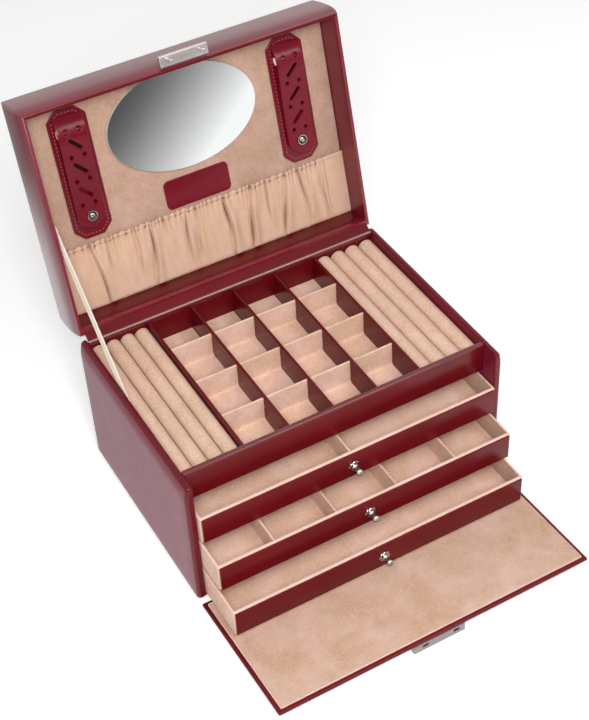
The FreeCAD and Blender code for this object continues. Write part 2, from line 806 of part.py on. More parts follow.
def face_corner(i):
    both = normals[i - 1].add(normals[i])
    return seat[i].add(both.multiply(strip_t / (1 + normals[i - 1].dot(normals[i]))))


def face_round(i):
    both = normals[i - 1].add(normals[i])
    both.normalize()
    return arc(face_point(i, normals[i - 1]), face_point(i, both), face_point(i, normals[i]))


strip_edges = [line(p, q) for p, q in zip(seat, seat[1:])]
strip_edges += [
    line(seat[5], face_point(5, normals[4])), line(face_point(5, normals[4]), face_point(4, normals[4])),
    face_round(4), line(face_point(4, normals[3]), face_corner(3)), line(face_corner(3), face_corner(2)),
    line(face_corner(2), face_point(1, normals[1])), face_round(1),
    line(face_point(1, normals[0]), face_point(0, normals[0])), line(face_point(0, normals[0]), seat[0]),
]
strip = Part.Face(Part.Wire(Part.__sortEdges__(strip_edges))).extrude(V(2 * strip_half, 0, 0))
strip.translate(V(-strip_half, 0, 0))
write("hinge_strip", strip)

# Ribbon stay: flat against the inner faces of the lid wall and the side panel, taut between them,
# its ends cut along the panel's top edge and the lid's rim
lid_end = open_lid_point(0, ribbon_lid_b, ribbon_lid_w)
case_end = V(0, ribbon_case_y, z_top - ribbon_case_drop)
run = lid_end.sub(case_end)
run.normalize()
lid_along = open_lid_point(0, 1, 0).sub(open_lid_point(0, 0, 0))
case_half = V(0, ribbon_w / 2 / run.z, 0)
lid_half = V(lid_along).multiply(ribbon_w / 2 / run.cross(lid_along).Length)
x_a = -in_x
corners = [case_end.sub(case_half), case_end.add(case_half), lid_end.sub(lid_half), lid_end.add(lid_half)]
ribbon = prism([V(x_a, c.y, c.z) for c in corners], V(ribbon_t, 0, 0))
write("ribbon_stay", ribbon)
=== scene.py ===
import json
import math

import bmesh
import bpy
import numpy as np
from mathutils import Matrix, Vector
from mathutils.geometry import delaunay_2d_cdt


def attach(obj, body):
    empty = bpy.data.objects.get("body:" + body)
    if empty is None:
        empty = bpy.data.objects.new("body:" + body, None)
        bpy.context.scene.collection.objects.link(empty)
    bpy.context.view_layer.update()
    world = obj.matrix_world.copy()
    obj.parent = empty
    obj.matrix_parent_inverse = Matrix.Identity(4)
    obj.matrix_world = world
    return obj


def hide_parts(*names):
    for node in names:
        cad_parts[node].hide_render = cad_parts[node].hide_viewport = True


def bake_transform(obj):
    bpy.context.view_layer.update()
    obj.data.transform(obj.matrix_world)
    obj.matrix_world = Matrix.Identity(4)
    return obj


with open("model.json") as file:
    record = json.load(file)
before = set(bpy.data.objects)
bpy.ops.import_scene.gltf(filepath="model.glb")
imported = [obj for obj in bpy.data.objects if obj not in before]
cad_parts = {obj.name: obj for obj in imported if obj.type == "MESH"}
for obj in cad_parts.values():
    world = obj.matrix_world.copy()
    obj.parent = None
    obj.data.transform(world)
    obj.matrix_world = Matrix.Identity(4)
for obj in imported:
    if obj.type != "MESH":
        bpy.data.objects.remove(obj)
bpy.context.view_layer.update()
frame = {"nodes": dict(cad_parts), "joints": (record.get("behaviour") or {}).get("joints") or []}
nodes = frame["nodes"]
joints = {joint["name"]: joint for joint in frame["joints"]}
mm = 0.001
weld = 1e-6  # points closer than this are one
print("frame loaded:", len(nodes), "nodes")


# places: the case's own frame, and the lid's and the flap's, where a runs across, b out from the hinge
# and w square to both, outwards on the lid and up from the flap's inlay

def meshPoints(mesh):
    co = np.empty(len(mesh.vertices) * 3)
    mesh.vertices.foreach_get("co", co)
    return co.reshape(-1, 3)


def nodePoints(name):
    return meshPoints(nodes[name].data)


def flapTilt():  # slope of the flap's inlay, from its thinnest direction
    points = nodePoints("flap_inlay")
    normal = np.linalg.svd(points - points.mean(0), full_matrices=False)[2][2]
    normal = normal * np.sign(normal[2])
    return math.atan2(normal[1], normal[2])


lidHinge = np.array(joints["lid_hinge"]["pos_m"])
lidTurn = math.radians(-joints["lid_hinge"]["range_deg"][0])
flapHinge = np.array(joints["flap_hinge"]["pos_m"])
flapSlope = flapTilt()


def hingePlace(p, hinge, turn):
    a, b, w = p[..., 0], p[..., 1], p[..., 2]
    y = hinge[1] - b * math.cos(turn) + w * math.sin(turn)
    z = hinge[2] + b * math.sin(turn) + w * math.cos(turn)
    return np.stack([a, y, z], -1)


def hingeLocal(p, hinge, turn):
    dy, dz = p[..., 1] - hinge[1], p[..., 2] - hinge[2]
    b = -dy * math.cos(turn) + dz * math.sin(turn)
    w = dy * math.sin(turn) + dz * math.cos(turn)
    return np.stack([p[..., 0], b, w], -1)


def casePlace(p):
    return p


def lidPlace(p):
    return hingePlace(p, lidHinge, lidTurn)


def lidLocal(p):
    return hingeLocal(p, lidHinge, lidTurn)


def lidAim(a, b, w):  # a direction of the lid's frame, in the case's frame
    return lidPlace(np.array([a, b, w], float)) - lidPlace(np.zeros(3))


def flapPlace(p):
    return hingePlace(p, flapHinge, flapSlope)


def flapLocal(p):
    return hingeLocal(p, flapHinge, flapSlope)


def extent(name, local=casePlace):
    p = local(nodePoints(name))
    return p.min(0), p.max(0)


def solidExtents(name, local=casePlace):  # one box for each separate solid of a node, in order of x then y
    mesh = nodes[name].data
    mesh.calc_loop_triangles()
    tri = np.empty(len(mesh.loop_triangles) * 3, int)
    mesh.loop_triangles.foreach_get("vertices", tri)
    points = nodePoints(name)
    welded = np.unique(np.round(points / weld), axis=0, return_inverse=True)[1].ravel()
    tri = welded[tri].reshape(-1, 3)
    label = np.arange(welded.max() + 1)
    while True:  # the lowest label spreads over each solid
        spread = label.copy()
        np.minimum.at(spread, tri.ravel(), np.repeat(label[tri].min(1), 3))
        if (spread == label).all():
            break
        label = spread
    placed = local(points)
    groups = [placed[label[welded] == k] for k in np.unique(label[welded])]
    boxes = [(g.min(0), g.max(0)) for g in groups]
    return sorted(boxes, key=lambda box: (round(box[0][0], 4), round(box[0][1], 4)))


# meshes: a grid of points, or a stack of rings, becomes quads

def gridQuads(nu, nv):
    # rings one after another: each quad joins a point to its neighbours in its own ring and in the next
    uu, vv = np.meshgrid(np.arange(nu - 1), np.arange(nv), indexing="ij")
    un, vn = uu + 1, (vv + 1) % nv
    return np.stack([uu * nv + vv, un * nv + vv, un * nv + vn, uu * nv + vn], -1).reshape(-1, 4)


def gridPart(points, caps=(0, -1)):
    # caps are the rings that are closed by a face of their own
    nu, nv = points.shape[:2]
    rings = [list(range(row * nv, row * nv + nv)) for row in (u % nu for u in caps)]
    return points.reshape(-1, 3), gridQuads(nu, nv), rings


def putMesh(name, parts, material, sharp=35, second=None):
    bm = bmesh.new()
    for points, quads, rings in parts:
        mesh = bpy.data.meshes.new("part")
        mesh.from_pydata(points.tolist(), [], quads.tolist() + rings)
        bm.from_mesh(mesh)
        bpy.data.meshes.remove(mesh)
    bmesh.ops.remove_doubles(bm, verts=bm.verts[:], dist=weld)
    bmesh.ops.dissolve_degenerate(bm, edges=bm.edges[:], dist=0.1 * weld)
    bmesh.ops.recalc_face_normals(bm, faces=bm.faces[:])
    mesh = bpy.data.meshes.new(name)
    bm.to_mesh(mesh)
    bm.free()
    mesh.shade_smooth()
    mesh.set_sharp_from_angle(angle=math.radians(sharp))
    mesh.materials.append(material)
    if second is not None:  # another material on the faces whose middles pass a test
        other, test = second
        mesh.materials.append(other)
        middle = np.empty(len(mesh.polygons) * 3)
        mesh.polygons.foreach_get("center", middle)
        mesh.polygons.foreach_set("material_index", test(middle.reshape(-1, 3)).astype(np.int32))
    piece = bpy.data.objects.new(name, mesh)
    bpy.context.scene.collection.objects.link(piece)
    return piece


def addPiece(name, parts, material, body, slot, *replaced, **more):
    piece = putMesh(name, parts, material, **more)
    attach(piece, body)
    if replaced:
        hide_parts(*replaced)
    return piece


def setPaintedShade(piece, value):  # painted shade: how dark each point is painted where suede or cloth meets itself
    attribute = piece.data.attributes.new("crease", "FLOAT", "POINT")
    attribute.data.foreach_set("value", value.astype(np.float32))


def quarter(steps):
    return np.linspace(0, math.pi / 2, steps + 1)


def unitRows(rows):
    return rows / np.linalg.norm(rows, axis=1)[:, None]


def runAlong(line):  # the length walked at each point of a line
    return np.concatenate([[0], np.cumsum(np.linalg.norm(np.diff(line, axis=0), axis=1))])


def roundRect(centre, half, corner, steps=5):
    # outline inset by d: four quarter circles of radius corner - d about centres that keep the sides straight
    turn = np.concatenate([quarter(steps) + k * math.pi / 2 for k in range(4)])
    sx = np.repeat([1, -1, -1, 1], steps + 1)
    sy = np.repeat([1, 1, -1, -1], steps + 1)

    def outline(d):
        radius = max(corner - d, 0.0)
        x = centre[0] + sx * (half[0] - d - radius) + radius * np.cos(turn)
        y = centre[1] + sy * (half[1] - d - radius) + radius * np.sin(turn)
        return np.stack([x, y], -1)

    return outline


def boxRect(low, high, corner):
    return roundRect((low + high) / 2, (high - low) / 2, corner)


def withMore(outline, count):
    # the same outline with more points along each straight run
    t = np.linspace(0, 1, count, endpoint=False)[None, :, None]

    def more(d):
        p = outline(d)
        return ((1 - t) * p[:, None] + t * np.roll(p, -1, 0)[:, None]).reshape(-1, 2)

    return more


def turnedRect(centre, half, corner, angle):
    # a round-cornered outline turned by an angle about its centre
    flat = roundRect((0.0, 0.0), half, corner)
    spin = np.array([[math.cos(angle), math.sin(angle)], [-math.sin(angle), math.cos(angle)]])
    return lambda d: np.array(centre) + flat(d) @ spin


def oval(centre, half, count=96):
    # an ellipse whose two half widths shrink by d
    turn = np.linspace(0, 2 * math.pi, count, endpoint=False)

    def outline(d):
        x = centre[0] + (half[0] - d) * np.cos(turn)
        y = centre[1] + (half[1] - d) * np.sin(turn)
        return np.stack([x, y], -1)

    return outline


def polygon(corners, rounding, steps=3):
    # outline inset by d: each side of a convex outline moves in by d, corners stay on their bisectors
    corner = np.array(corners, float)
    along = unitRows(np.roll(corner, -1, 0) - corner)
    normal = np.stack([along[:, 1], -along[:, 0]], -1)
    before = np.roll(normal, 1, 0)
    miter = (normal + before) / (1 + (normal * before).sum(1))[:, None]
    t = np.linspace(0, 1, steps + 1)[None, :, None]

    def outline(d):
        p = corner - miter * d
        a = p - np.roll(along, 1, 0) * rounding
        b = p + along * rounding
        curve = (1 - t) ** 2 * a[:, None] + 2 * t * (1 - t) * p[:, None] + t ** 2 * b[:, None]
        return curve.reshape(-1, 2)

    return outline


def stackRings(outline, profile):
    # each (inset, height) of the profile is one ring of the outline
    rings = [(outline(inset), height) for inset, height in profile]
    return np.array([np.column_stack([flat, np.full(len(flat), height)]) for flat, height in rings])


def ringPart(outline, profile, place=casePlace, order=(0, 1, 2)):
    # a stack of rings, capped at both ends
    rings = stackRings(outline, profile)[..., np.argsort(order)]
    return gridPart(place(rings))


def edgeProfile(low, high, radius, steps=4):
    # from the low face, round its edge, up the side, round the high edge
    q = quarter(steps)
    bottom = np.column_stack([radius * (1 - np.sin(q)), low + radius * (1 - np.cos(q))])
    top = np.column_stack([radius * (1 - np.cos(q)), high - radius * (1 - np.sin(q))])
    return np.concatenate([bottom, top])


def softBoard(box, edge, corner=None, axis=2, place=casePlace):
    # a board whose edges are rounded: rings of a round-cornered outline stacked along one axis
    low, high = np.array(box[0]), np.array(box[1])
    u, v = [i for i in range(3) if i != axis]
    edge = min(edge, 0.49 * (high - low).min())  # a little less than half of the thinnest side
    outline = boxRect(low[[u, v]], high[[u, v]], edge if corner is None else corner)
    return ringPart(outline, edgeProfile(low[axis], high[axis], edge), place, (u, v, axis))


def lathePart(profile, centre, axis, count=40):
    # (radius, height) pairs turned about an axis
    axis = np.array(axis, float) / np.linalg.norm(axis)
    side = np.cross(axis, [1.0, 0, 0] if abs(axis[0]) < 0.9 else [0, 1.0, 0])
    side /= np.linalg.norm(side)
    other = np.cross(axis, side)
    turn = np.linspace(0, 2 * math.pi, count, endpoint=False)
    ring = np.cos(turn)[:, None] * side + np.sin(turn)[:, None] * other
    profile = np.array(profile, float)
    points = np.array(centre) + profile[:, None, :1] * ring[None] + profile[:, None, 1:] * axis
    return gridPart(points)


def tubePart(path, radius, across, count=14):
    # a circle of given radius at each point of a path, one axis held to a fixed direction
    ahead = unitRows(np.gradient(path, axis=0))
    side = unitRows(np.cross(ahead, across))
    up = np.cross(side, ahead)
    turn = np.linspace(0, 2 * math.pi, count, endpoint=False)[None, :, None]
    ring = np.cos(turn) * side[:, None] + np.sin(turn) * up[:, None]
    return gridPart(path[:, None] + radius[:, None, None] * ring)


def insideConvex(points, loop):  # inside means on one and the same side of every edge
    along = np.roll(loop, -1, 0) - loop
    offset = points[:, None] - loop[None]
    cross = along[None, :, 0] * offset[..., 1] - along[None, :, 1] * offset[..., 0]
    return (cross >= 0).all(1) | (cross <= 0).all(1)


def scaledLoop(loop, share):  # a loop shrunk or grown about its middle
    middle = loop.mean(0)
    return middle + (loop - middle) * share


def filledOutline(outer, holes, step):
    # triangles over a convex outline, with extra points every step, and none in the holes
    clearOuter, clearHole = 0.96, 1.25  # the extra points stay inside and outside these shares of the loops
    low, high = outer.min(0), outer.max(0)
    grid = np.meshgrid(np.arange(low[0], high[0], step), np.arange(low[1], high[1], step))
    spots = np.stack(grid, -1).reshape(-1, 2)
    keep = insideConvex(spots, scaledLoop(outer, clearOuter))
    for hole in holes:
        keep &= ~insideConvex(spots, scaledLoop(hole, clearHole))
    loops = [outer, *holes]
    sizes = [len(loop) for loop in loops]
    starts = np.cumsum([0] + sizes)
    edges = np.concatenate([np.column_stack([a + np.arange(n), a + (np.arange(n) + 1) % n])
                            for a, n in zip(starts, sizes)])
    points = np.concatenate([*loops, spots[keep]]) / mm
    found = delaunay_2d_cdt([Vector(q) for q in points.tolist()], edges.tolist(), [], 0, 1e-6)
    flat = np.array([tuple(v) for v in found[0]]) * mm
    faces = np.array(found[2])
    centres = flat[faces].mean(1)
    solid = insideConvex(centres, outer)
    for hole in holes:
        solid &= ~insideConvex(centres, hole)
    return flat, faces[solid]


def holedParts(outer, holes, bevel, depth, step, place, wells=None):
    # a slab with softened edges: its face, the same face behind it, and walls round the outline and holes;
    # with wells the holes are blind and end at that depth
    slope = [(bevel, 0.0), (0.3 * bevel, 0.3 * bevel), (0.0, bevel)]  # a quarter circle in three rings
    flat, faces = filledOutline(outer(bevel), [hole(-bevel) for hole in holes], step)
    front = place(np.column_stack([flat, np.zeros(len(flat))]))
    parts = [(front, faces, [])]
    if wells is None:
        parts.append((place(np.column_stack([flat, np.full(len(flat), depth)])), faces, []))
    through = slope + [(d, depth - h) for d, h in slope[::-1]]
    caps = () if wells is None else (-1,)
    parts.append(gridPart(place(stackRings(outer, through)), caps))
    levels = through if wells is None else slope + [(0.0, wells)]
    for hole in holes:
        rings = stackRings(hole, [(-d, h) for d, h in levels])
        parts.append(gridPart(place(rings), caps))
    return parts


def stitchPart(loop, pitch, length, radius, lift, place):
    # one small spindle for each stitch along a closed outline, its thickness the root of a sine
    closed = np.concatenate([loop, loop[:1]])
    run = runAlong(closed)
    count = int(run[-1] / pitch)
    s = np.linspace(0, run[-1], count, endpoint=False)
    start, end = [np.column_stack([np.interp(s + d, run, closed[:, k], period=run[-1]) for k in (0, 1)])
                  for d in (-length / 2, length / 2)]
    t = np.linspace(0, 1, 6)
    thick = radius * np.sin(math.pi * (0.06 + 0.88 * t)) ** 0.5  # with blunt ends
    along = end - start
    side = unitRows(np.stack([along[:, 1], -along[:, 0]], -1))
    turn = np.linspace(0, 2 * math.pi, 6, endpoint=False)
    points = np.empty((count, len(t), len(turn), 3))
    flat = start[:, None] + along[:, None] * t[None, :, None]
    sideways, outwards = thick[:, None] * np.cos(turn), thick[:, None] * np.sin(turn)
    points[..., :2] = flat[:, :, None] + sideways[None, ..., None] * side[:, None, None]
    points[..., 2] = lift - outwards[None]
    single = gridQuads(len(t), len(turn))
    size = len(t) * len(turn)
    shift = np.arange(count)[:, None, None] * size
    ends = np.stack([np.arange(len(turn)), size - 1 - np.arange(len(turn))])
    rings = (ends[None] + shift).reshape(-1, len(turn)).tolist()
    return place(points).reshape(-1, 3), (single[None] + shift).reshape(-1, 4), rings


# materials: noises on the object's own coordinates, mixed into colour, roughness and bump

noiseMiddle = (0.3, 0.7)  # nearly all of a noise's values lie between these


def newMaterial(name):
    material = bpy.data.materials.new(name)
    material.use_nodes = True
    tree = material.node_tree
    tree.nodes.clear()
    shader = tree.nodes.new("ShaderNodeBsdfPrincipled")
    output = tree.nodes.new("ShaderNodeOutputMaterial")
    tree.links.new(shader.outputs["BSDF"], output.inputs["Surface"])
    return material, tree, shader


def objectPoint(tree):
    return tree.nodes.new("ShaderNodeTexCoord").outputs["Object"]


def noiseOn(tree, point, scale, detail=2.0, roughness=0.5, distortion=0.0):
    noise = tree.nodes.new("ShaderNodeTexNoise")
    noise.inputs["Scale"].default_value = scale
    noise.inputs["Detail"].default_value = detail
    noise.inputs["Roughness"].default_value = roughness
    noise.inputs["Distortion"].default_value = distortion
    tree.links.new(point, noise.inputs["Vector"])
    return noise.outputs["Fac"]


def cellsOn(tree, point, scale):
    cells = tree.nodes.new("ShaderNodeTexVoronoi")
    cells.feature = "DISTANCE_TO_EDGE"
    cells.inputs["Scale"].default_value = scale
    tree.links.new(point, cells.inputs["Vector"])
    return cells.outputs["Distance"]


def spreadOf(tree, value, low, high, toLow, toHigh):
    spread = tree.nodes.new("ShaderNodeMapRange")
    spread.inputs["From Min"].default_value = low
    spread.inputs["From Max"].default_value = high
    spread.inputs["To Min"].default_value = toLow
    spread.inputs["To Max"].default_value = toHigh
    tree.links.new(value, spread.inputs["Value"])
    return spread.outputs["Result"]


def mixColours(tree, factor, first, second):
    mix = tree.nodes.new("ShaderNodeMix")
    mix.data_type = "RGBA"
    tree.links.new(factor, mix.inputs["Factor"])
    for socket, colour in ((mix.inputs["A"], first), (mix.inputs["B"], second)):
        if isinstance(colour, (tuple, list)):
            socket.default_value = (*colour, 1)
        else:
            tree.links.new(colour, socket)
    return mix.outputs["Result"]


def mathOn(tree, operation, *values):  # a value is a number, or another node's socket
    node = tree.nodes.new("ShaderNodeMath")
    node.operation = operation
    for socket, value in zip(node.inputs, values):
        if isinstance(value, (int, float)):
            socket.default_value = value
        else:
            tree.links.new(value, socket)
    return node.outputs["Value"]


def bumpOn(tree, shader, height, strength, distance):
    bump = tree.nodes.new("ShaderNodeBump")
    bump.inputs["Strength"].default_value = strength
    bump.inputs["Distance"].default_value = distance
    tree.links.new(height, bump.inputs["Height"])
    tree.links.new(bump.outputs["Normal"], shader.inputs["Normal"])


def srgb(r, g, b):  # screen colour to the linear values that shaders take
    c = np.array([r, g, b]) / 255
    return tuple(float(x) for x in np.where(c <= 0.04045, c / 12.92, ((c + 0.055) / 1.055) ** 2.4))


def tones(**colours):
    return {name: srgb(*colour) for name, colour in colours.items()}


def leatherMaterial(name, look):
    # two tones in soft clouds, uneven gloss, and a grain of small cells with pores between them
    material, tree, shader = newMaterial(name)
    point = objectPoint(tree)
    cloud = spreadOf(tree, noiseOn(tree, point, look["cloudScale"], 3), *look["cloudSpread"], 0, 1)
    tree.links.new(mixColours(tree, cloud, look["deep"], look["light"]), shader.inputs["Base Color"])
    rough = spreadOf(tree, noiseOn(tree, point, look["roughScale"], 4), *noiseMiddle, *look["roughness"])
    tree.links.new(rough, shader.inputs["Roughness"])
    shader.inputs["Specular IOR Level"].default_value = look["specular"]
    shader.inputs["Coat Weight"].default_value = look["coat"]
    shader.inputs["Coat Roughness"].default_value = look["coatRoughness"]
    shader.inputs["Sheen Weight"].default_value = look["sheen"]
    shader.inputs["Sheen Roughness"].default_value = look["sheenRoughness"]
    shader.inputs["Sheen Tint"].default_value = (*look["sheenTint"], 1)
    grain = spreadOf(tree, cellsOn(tree, point, look["grainScale"]), 0, look["grainSeam"], 0, 1)
    pores = noiseOn(tree, point, look["poreScale"], 3)
    height = mathOn(tree, "MULTIPLY_ADD", pores, look["poreShare"], grain)
    bumpOn(tree, shader, height, look["grainBump"], look["grainDepth"])
    return material


leatherLook = {
    **tones(deep=(109, 10, 33), light=(116, 12, 39)), "cloudScale": 14.0, "cloudSpread": (0.35, 0.65),
    "roughScale": 70.0, "roughness": (0.34, 0.37), "specular": 0.22, "coat": 0.0, "coatRoughness": 0.25,
    "sheen": 0.0, "sheenRoughness": 0.4, "sheenTint": (0.70, 0.68, 1.0),
    "grainScale": 1100.0, "grainSeam": 0.25, "poreScale": 440.0, "poreShare": 0.8,
    "grainBump": 0.08, "grainDepth": 0.0001,
}
panelLeatherLook = dict(leatherLook, sheen=0.06)
lidLeatherLook = dict(leatherLook, roughness=(0.24, 0.27), specular=0.5, coat=0.25, coatRoughness=0.15)
strapLeatherLook = dict(leatherLook, roughness=(0.22, 0.27), specular=0.24, **tones(
    deep=(100, 8, 25), light=(110, 11, 31)))
# painted shade: a darker copy of the strap leather for the side panels' top and front edges
rimLeatherShadedLook = dict(strapLeatherLook, **tones(deep=(91, 7, 21), light=(99, 9, 26)))
frontLeatherLook = dict(leatherLook, roughness=(0.20, 0.25), **tones(deep=(91, 9, 17), light=(98, 11, 20)))
edgeLeatherLook = dict(frontLeatherLook, specular=0.5, coat=0.35, coatRoughness=0.12)
creaseLeatherLook = dict(frontLeatherLook, specular=0.6, coat=0.5, coatRoughness=0.12)
strapShadeLook = dict(strapLeatherLook, specular=0.05, **tones(deep=(34, 4, 9), light=(42, 6, 12)))
leather = leatherMaterial("burgundyLeather", leatherLook)
panelLeather = leatherMaterial("panelLeather", panelLeatherLook)
lidLeather = leatherMaterial("lidLeather", lidLeatherLook)
strapLeather = leatherMaterial("strapLeather", strapLeatherLook)
rimLeatherShaded = leatherMaterial("rimLeatherShaded", rimLeatherShadedLook)
frontLeather = leatherMaterial("frontLeather", frontLeatherLook)
edgeLeather = leatherMaterial("edgeLeather", edgeLeatherLook)
creaseLeather = leatherMaterial("creaseLeather", creaseLeatherLook)
strapShade = leatherMaterial("strapShade", strapShadeLook)


def suedeMaterial(name, look):
    # rosy patches, brushed shading and a light nap over the base tone; only the nap is raised
    material, tree, shader = newMaterial(name)
    point = objectPoint(tree)
    patch = spreadOf(tree, noiseOn(tree, point, look["patchScale"], 2, 0.5, 0.6), *look["patchSpread"], 0, 1)
    brushed = spreadOf(tree, noiseOn(tree, point, look["brushScale"], 3, 0.6), *noiseMiddle, 0, 1)
    nap = noiseOn(tree, point, look["napScale"], 3, 0.7)
    tone = mixColours(tree, patch, look["base"], look["rosy"])
    tone = mixColours(tree, spreadOf(tree, brushed, 0, 1, 0, look["brushShare"]), tone, look["shade"])
    tone = mixColours(tree, spreadOf(tree, nap, *look["napSpread"], 0, look["napShare"]), tone, look["light"])
    if "crease" in look:  # painted shade: darker where the piece's own attribute says that cloth meets cloth
        depth = tree.nodes.new("ShaderNodeAttribute")
        depth.attribute_name = "crease"
        tone = mixColours(tree, depth.outputs["Fac"], tone, look["crease"])
    tree.links.new(tone, shader.inputs["Base Color"])
    shader.inputs["Roughness"].default_value = look["roughness"]
    shader.inputs["Specular IOR Level"].default_value = look["specular"]
    shader.inputs["Sheen Weight"].default_value = look["sheen"]
    shader.inputs["Sheen Roughness"].default_value = look["sheenRoughness"]
    bumpOn(tree, shader, nap, look["napBump"], look["napDepth"])
    return material


suedeLook = {
    **tones(base=(206, 168, 141), rosy=(224, 187, 174), shade=(188, 150, 124), light=(236, 206, 186)),
    "patchScale": 30.0, "patchSpread": (0.36, 0.66), "brushScale": 120.0, "brushShare": 0.45,
    "napScale": 560.0, "napSpread": (0.4, 0.7), "napShare": 0.5, "napBump": 0.35, "napDepth": 0.0005,
    "roughness": 0.95, "specular": 0.08, "sheen": 0.10, "sheenRoughness": 0.45,
}
# painted shade: the lid's lining and the flap's inlay take darker copies of the beige suede, the flap's with
# its own patches
lidSuedeShadedLook = dict(suedeLook, sheen=0.05, **tones(
    base=(166, 134, 112), rosy=(187, 152, 138), shade=(153, 120, 99), light=(197, 167, 148)))
flapSuedeShadedLook = dict(suedeLook, sheen=0.05, patchScale=25.0, brushShare=0.32, **tones(
    base=(184, 149, 124), rosy=(205, 171, 157), shade=(170, 135, 110), light=(212, 181, 161)))
# painted shade: the last tone darkens the rolls where they meet
rollSuedeLook = dict(suedeLook, **tones(base=(201, 167, 143), rosy=(213, 179, 160), crease=(112, 78, 58)))
# painted highlight: paler suede for the crest of the drawers' rims and the welt round the flap's inlay
weltHighlightLook = dict(suedeLook, **tones(
    base=(219, 183, 166), rosy=(225, 189, 176), shade=(207, 170, 153), light=(234, 206, 192)))
# painted shade: the last tone darkens the cloth along its folds and puckers
clothLook = dict(suedeLook, napScale=1400.0, napBump=0.15, patchScale=60.0, **tones(
    base=(199, 162, 132), rosy=(203, 168, 149), crease=(112, 80, 62)))
weaveLook = dict(suedeLook, napScale=1400.0, napBump=0.1, **tones(
    base=(254, 243, 222), rosy=(254, 244, 228), shade=(246, 230, 208), light=(255, 250, 238)))
# painted shade: a darker tone for a stripe down the ribbon's middle, standing in for the shade along a middle
# fold
ribbonFoldShadeLook = dict(weaveLook, **tones(
    base=(232, 204, 188), rosy=(234, 206, 192), shade=(222, 192, 174), light=(240, 216, 202)))
# painted highlight: a pale matte tone for the mirror's bevel
glassEdgeHighlightLook = dict(suedeLook, sheen=0.0, **tones(
    base=(188, 178, 166), rosy=(196, 186, 176), shade=(176, 166, 154), light=(206, 198, 188)))
suede = suedeMaterial("beigeSuede", suedeLook)
lidSuedeShaded = suedeMaterial("lidSuedeShaded", lidSuedeShadedLook)
flapSuedeShaded = suedeMaterial("flapSuedeShaded", flapSuedeShadedLook)
rollSuede = suedeMaterial("rollSuede", rollSuedeLook)
weltHighlightSuede = suedeMaterial("weltHighlightSuede", weltHighlightLook)
cloth = suedeMaterial("pocketCloth", clothLook)
ribbonWeave = suedeMaterial("ribbonWeave", weaveLook)
ribbonFoldShade = suedeMaterial("ribbonFoldShade", ribbonFoldShadeLook)
glassEdgeHighlight = suedeMaterial("glassEdgeHighlight", glassEdgeHighlightLook)


def nickelMaterial(name, look):
    # a metal of two cloudy tones with fine uneven scratches
    material, tree, shader = newMaterial(name)
    point = objectPoint(tree)
    cloud = noiseOn(tree, point, look["cloudScale"], 3)
    tree.links.new(mixColours(tree, cloud, look["deep"], look["light"]), shader.inputs["Base Color"])
    shader.inputs["Metallic"].default_value = 1.0
    rough = spreadOf(tree, noiseOn(tree, point, look["scratchScale"], 5), *noiseMiddle, *look["roughness"])
    tree.links.new(rough, shader.inputs["Roughness"])
    return material


nickelLook = {
    **tones(deep=(158, 151, 146), light=(190, 184, 178)), "cloudScale": 180.0,
    "scratchScale": 900.0, "roughness": (0.06, 0.14),
}
steelLook = {
    **tones(deep=(120, 116, 112), light=(158, 154, 150)), "cloudScale": 120.0,
    "scratchScale": 700.0, "roughness": (0.28, 0.42),
}
# painted shade: a dark steel for the stud's groove
grooveShadeLook = dict(steelLook, **tones(deep=(60, 56, 55), light=(88, 83, 82)))
satinLook = dict(steelLook, roughness=(0.30, 0.42), **tones(deep=(172, 164, 163), light=(204, 197, 195)))
# painted shade: a darker copy of the satin nickel for the catch
catchSatinShadedLook = dict(satinLook, **tones(deep=(124, 117, 116), light=(152, 146, 145)))
nickel = nickelMaterial("polishedNickel", nickelLook)
steel = nickelMaterial("hingeSteel", steelLook)
grooveShadeSteel = nickelMaterial("grooveShadeSteel", grooveShadeLook)
satinNickel = nickelMaterial("satinNickel", satinLook)
catchSatinShaded = nickelMaterial("catchSatinShaded", catchSatinShadedLook)


def mirrorMaterial(name, look):
    material, tree, shader = newMaterial(name)
    haze = noiseOn(tree, objectPoint(tree), look["hazeScale"], 3)
    tree.links.new(spreadOf(tree, haze, *noiseMiddle, *look["haze"]), shader.inputs["Roughness"])
    shader.inputs["Base Color"].default_value = (*look["colour"], 1)
    shader.inputs["Metallic"].default_value = 1.0
    return material


def threadMaterial(name, look):
    material, tree, shader = newMaterial(name)
    twist = noiseOn(tree, objectPoint(tree), look["twistScale"], 2)
    tree.links.new(mixColours(tree, twist, look["deep"], look["light"]), shader.inputs["Base Color"])
    shader.inputs["Roughness"].default_value = look["roughness"]
    shader.inputs["Sheen Weight"].default_value = look["sheen"]
    return material


glassLook = {"hazeScale": 30.0, "haze": (0.0, 0.02), "colour": (0.93, 0.94, 0.94)}
threadLook = {
    **tones(deep=(130, 46, 58), light=(172, 86, 94)), "twistScale": 2500.0, "roughness": 0.7, "sheen": 0.2,
}
mirrorGlass = mirrorMaterial("mirrorGlass", glassLook)
stitchThread = threadMaterial("stitchThread", threadLook)


def dress(material, *names):  # nodes that keep their own shape
    for name in names:
        nodes[name].data.materials.clear()
        nodes[name].data.materials.append(material)


dress(leather, "plinth", "base_board")
dress(suede, "lower_shelf", "upper_shelf", "tray_deck")
dress(steel, "lid_hinge_case_leaves", "lid_hinge_lid_leaves", "hinge_pins")
dress(steel, "flap_hinge_case_leaves", "flap_hinge_flap_leaves")
dress(nickel, "key_barrel", "lock_bolt")
print("materials ready")


# carcass boards in leather

boardLook = {
    "panelInner": 1.4 * mm, "panelOuter": 3.6 * mm, "panelCorner": 3.0 * mm, "panelLean": 0.7 * mm,
    "panelOver": 14.0 * mm, "topLean": 2.8 * mm, "panelSwell": 1.8 * mm, "panelRim": 2.2 * mm,
    "panelPoints": 24, "panelRings": 12,
    "railGloss": 1.7 * mm, "backEdge": 2.4 * mm, "railEdge": 1.5 * mm, "partitionEdge": 0.9 * mm,
}


def above(height):  # a test for the faces over a height
    return lambda middle: middle[:, 2] > height


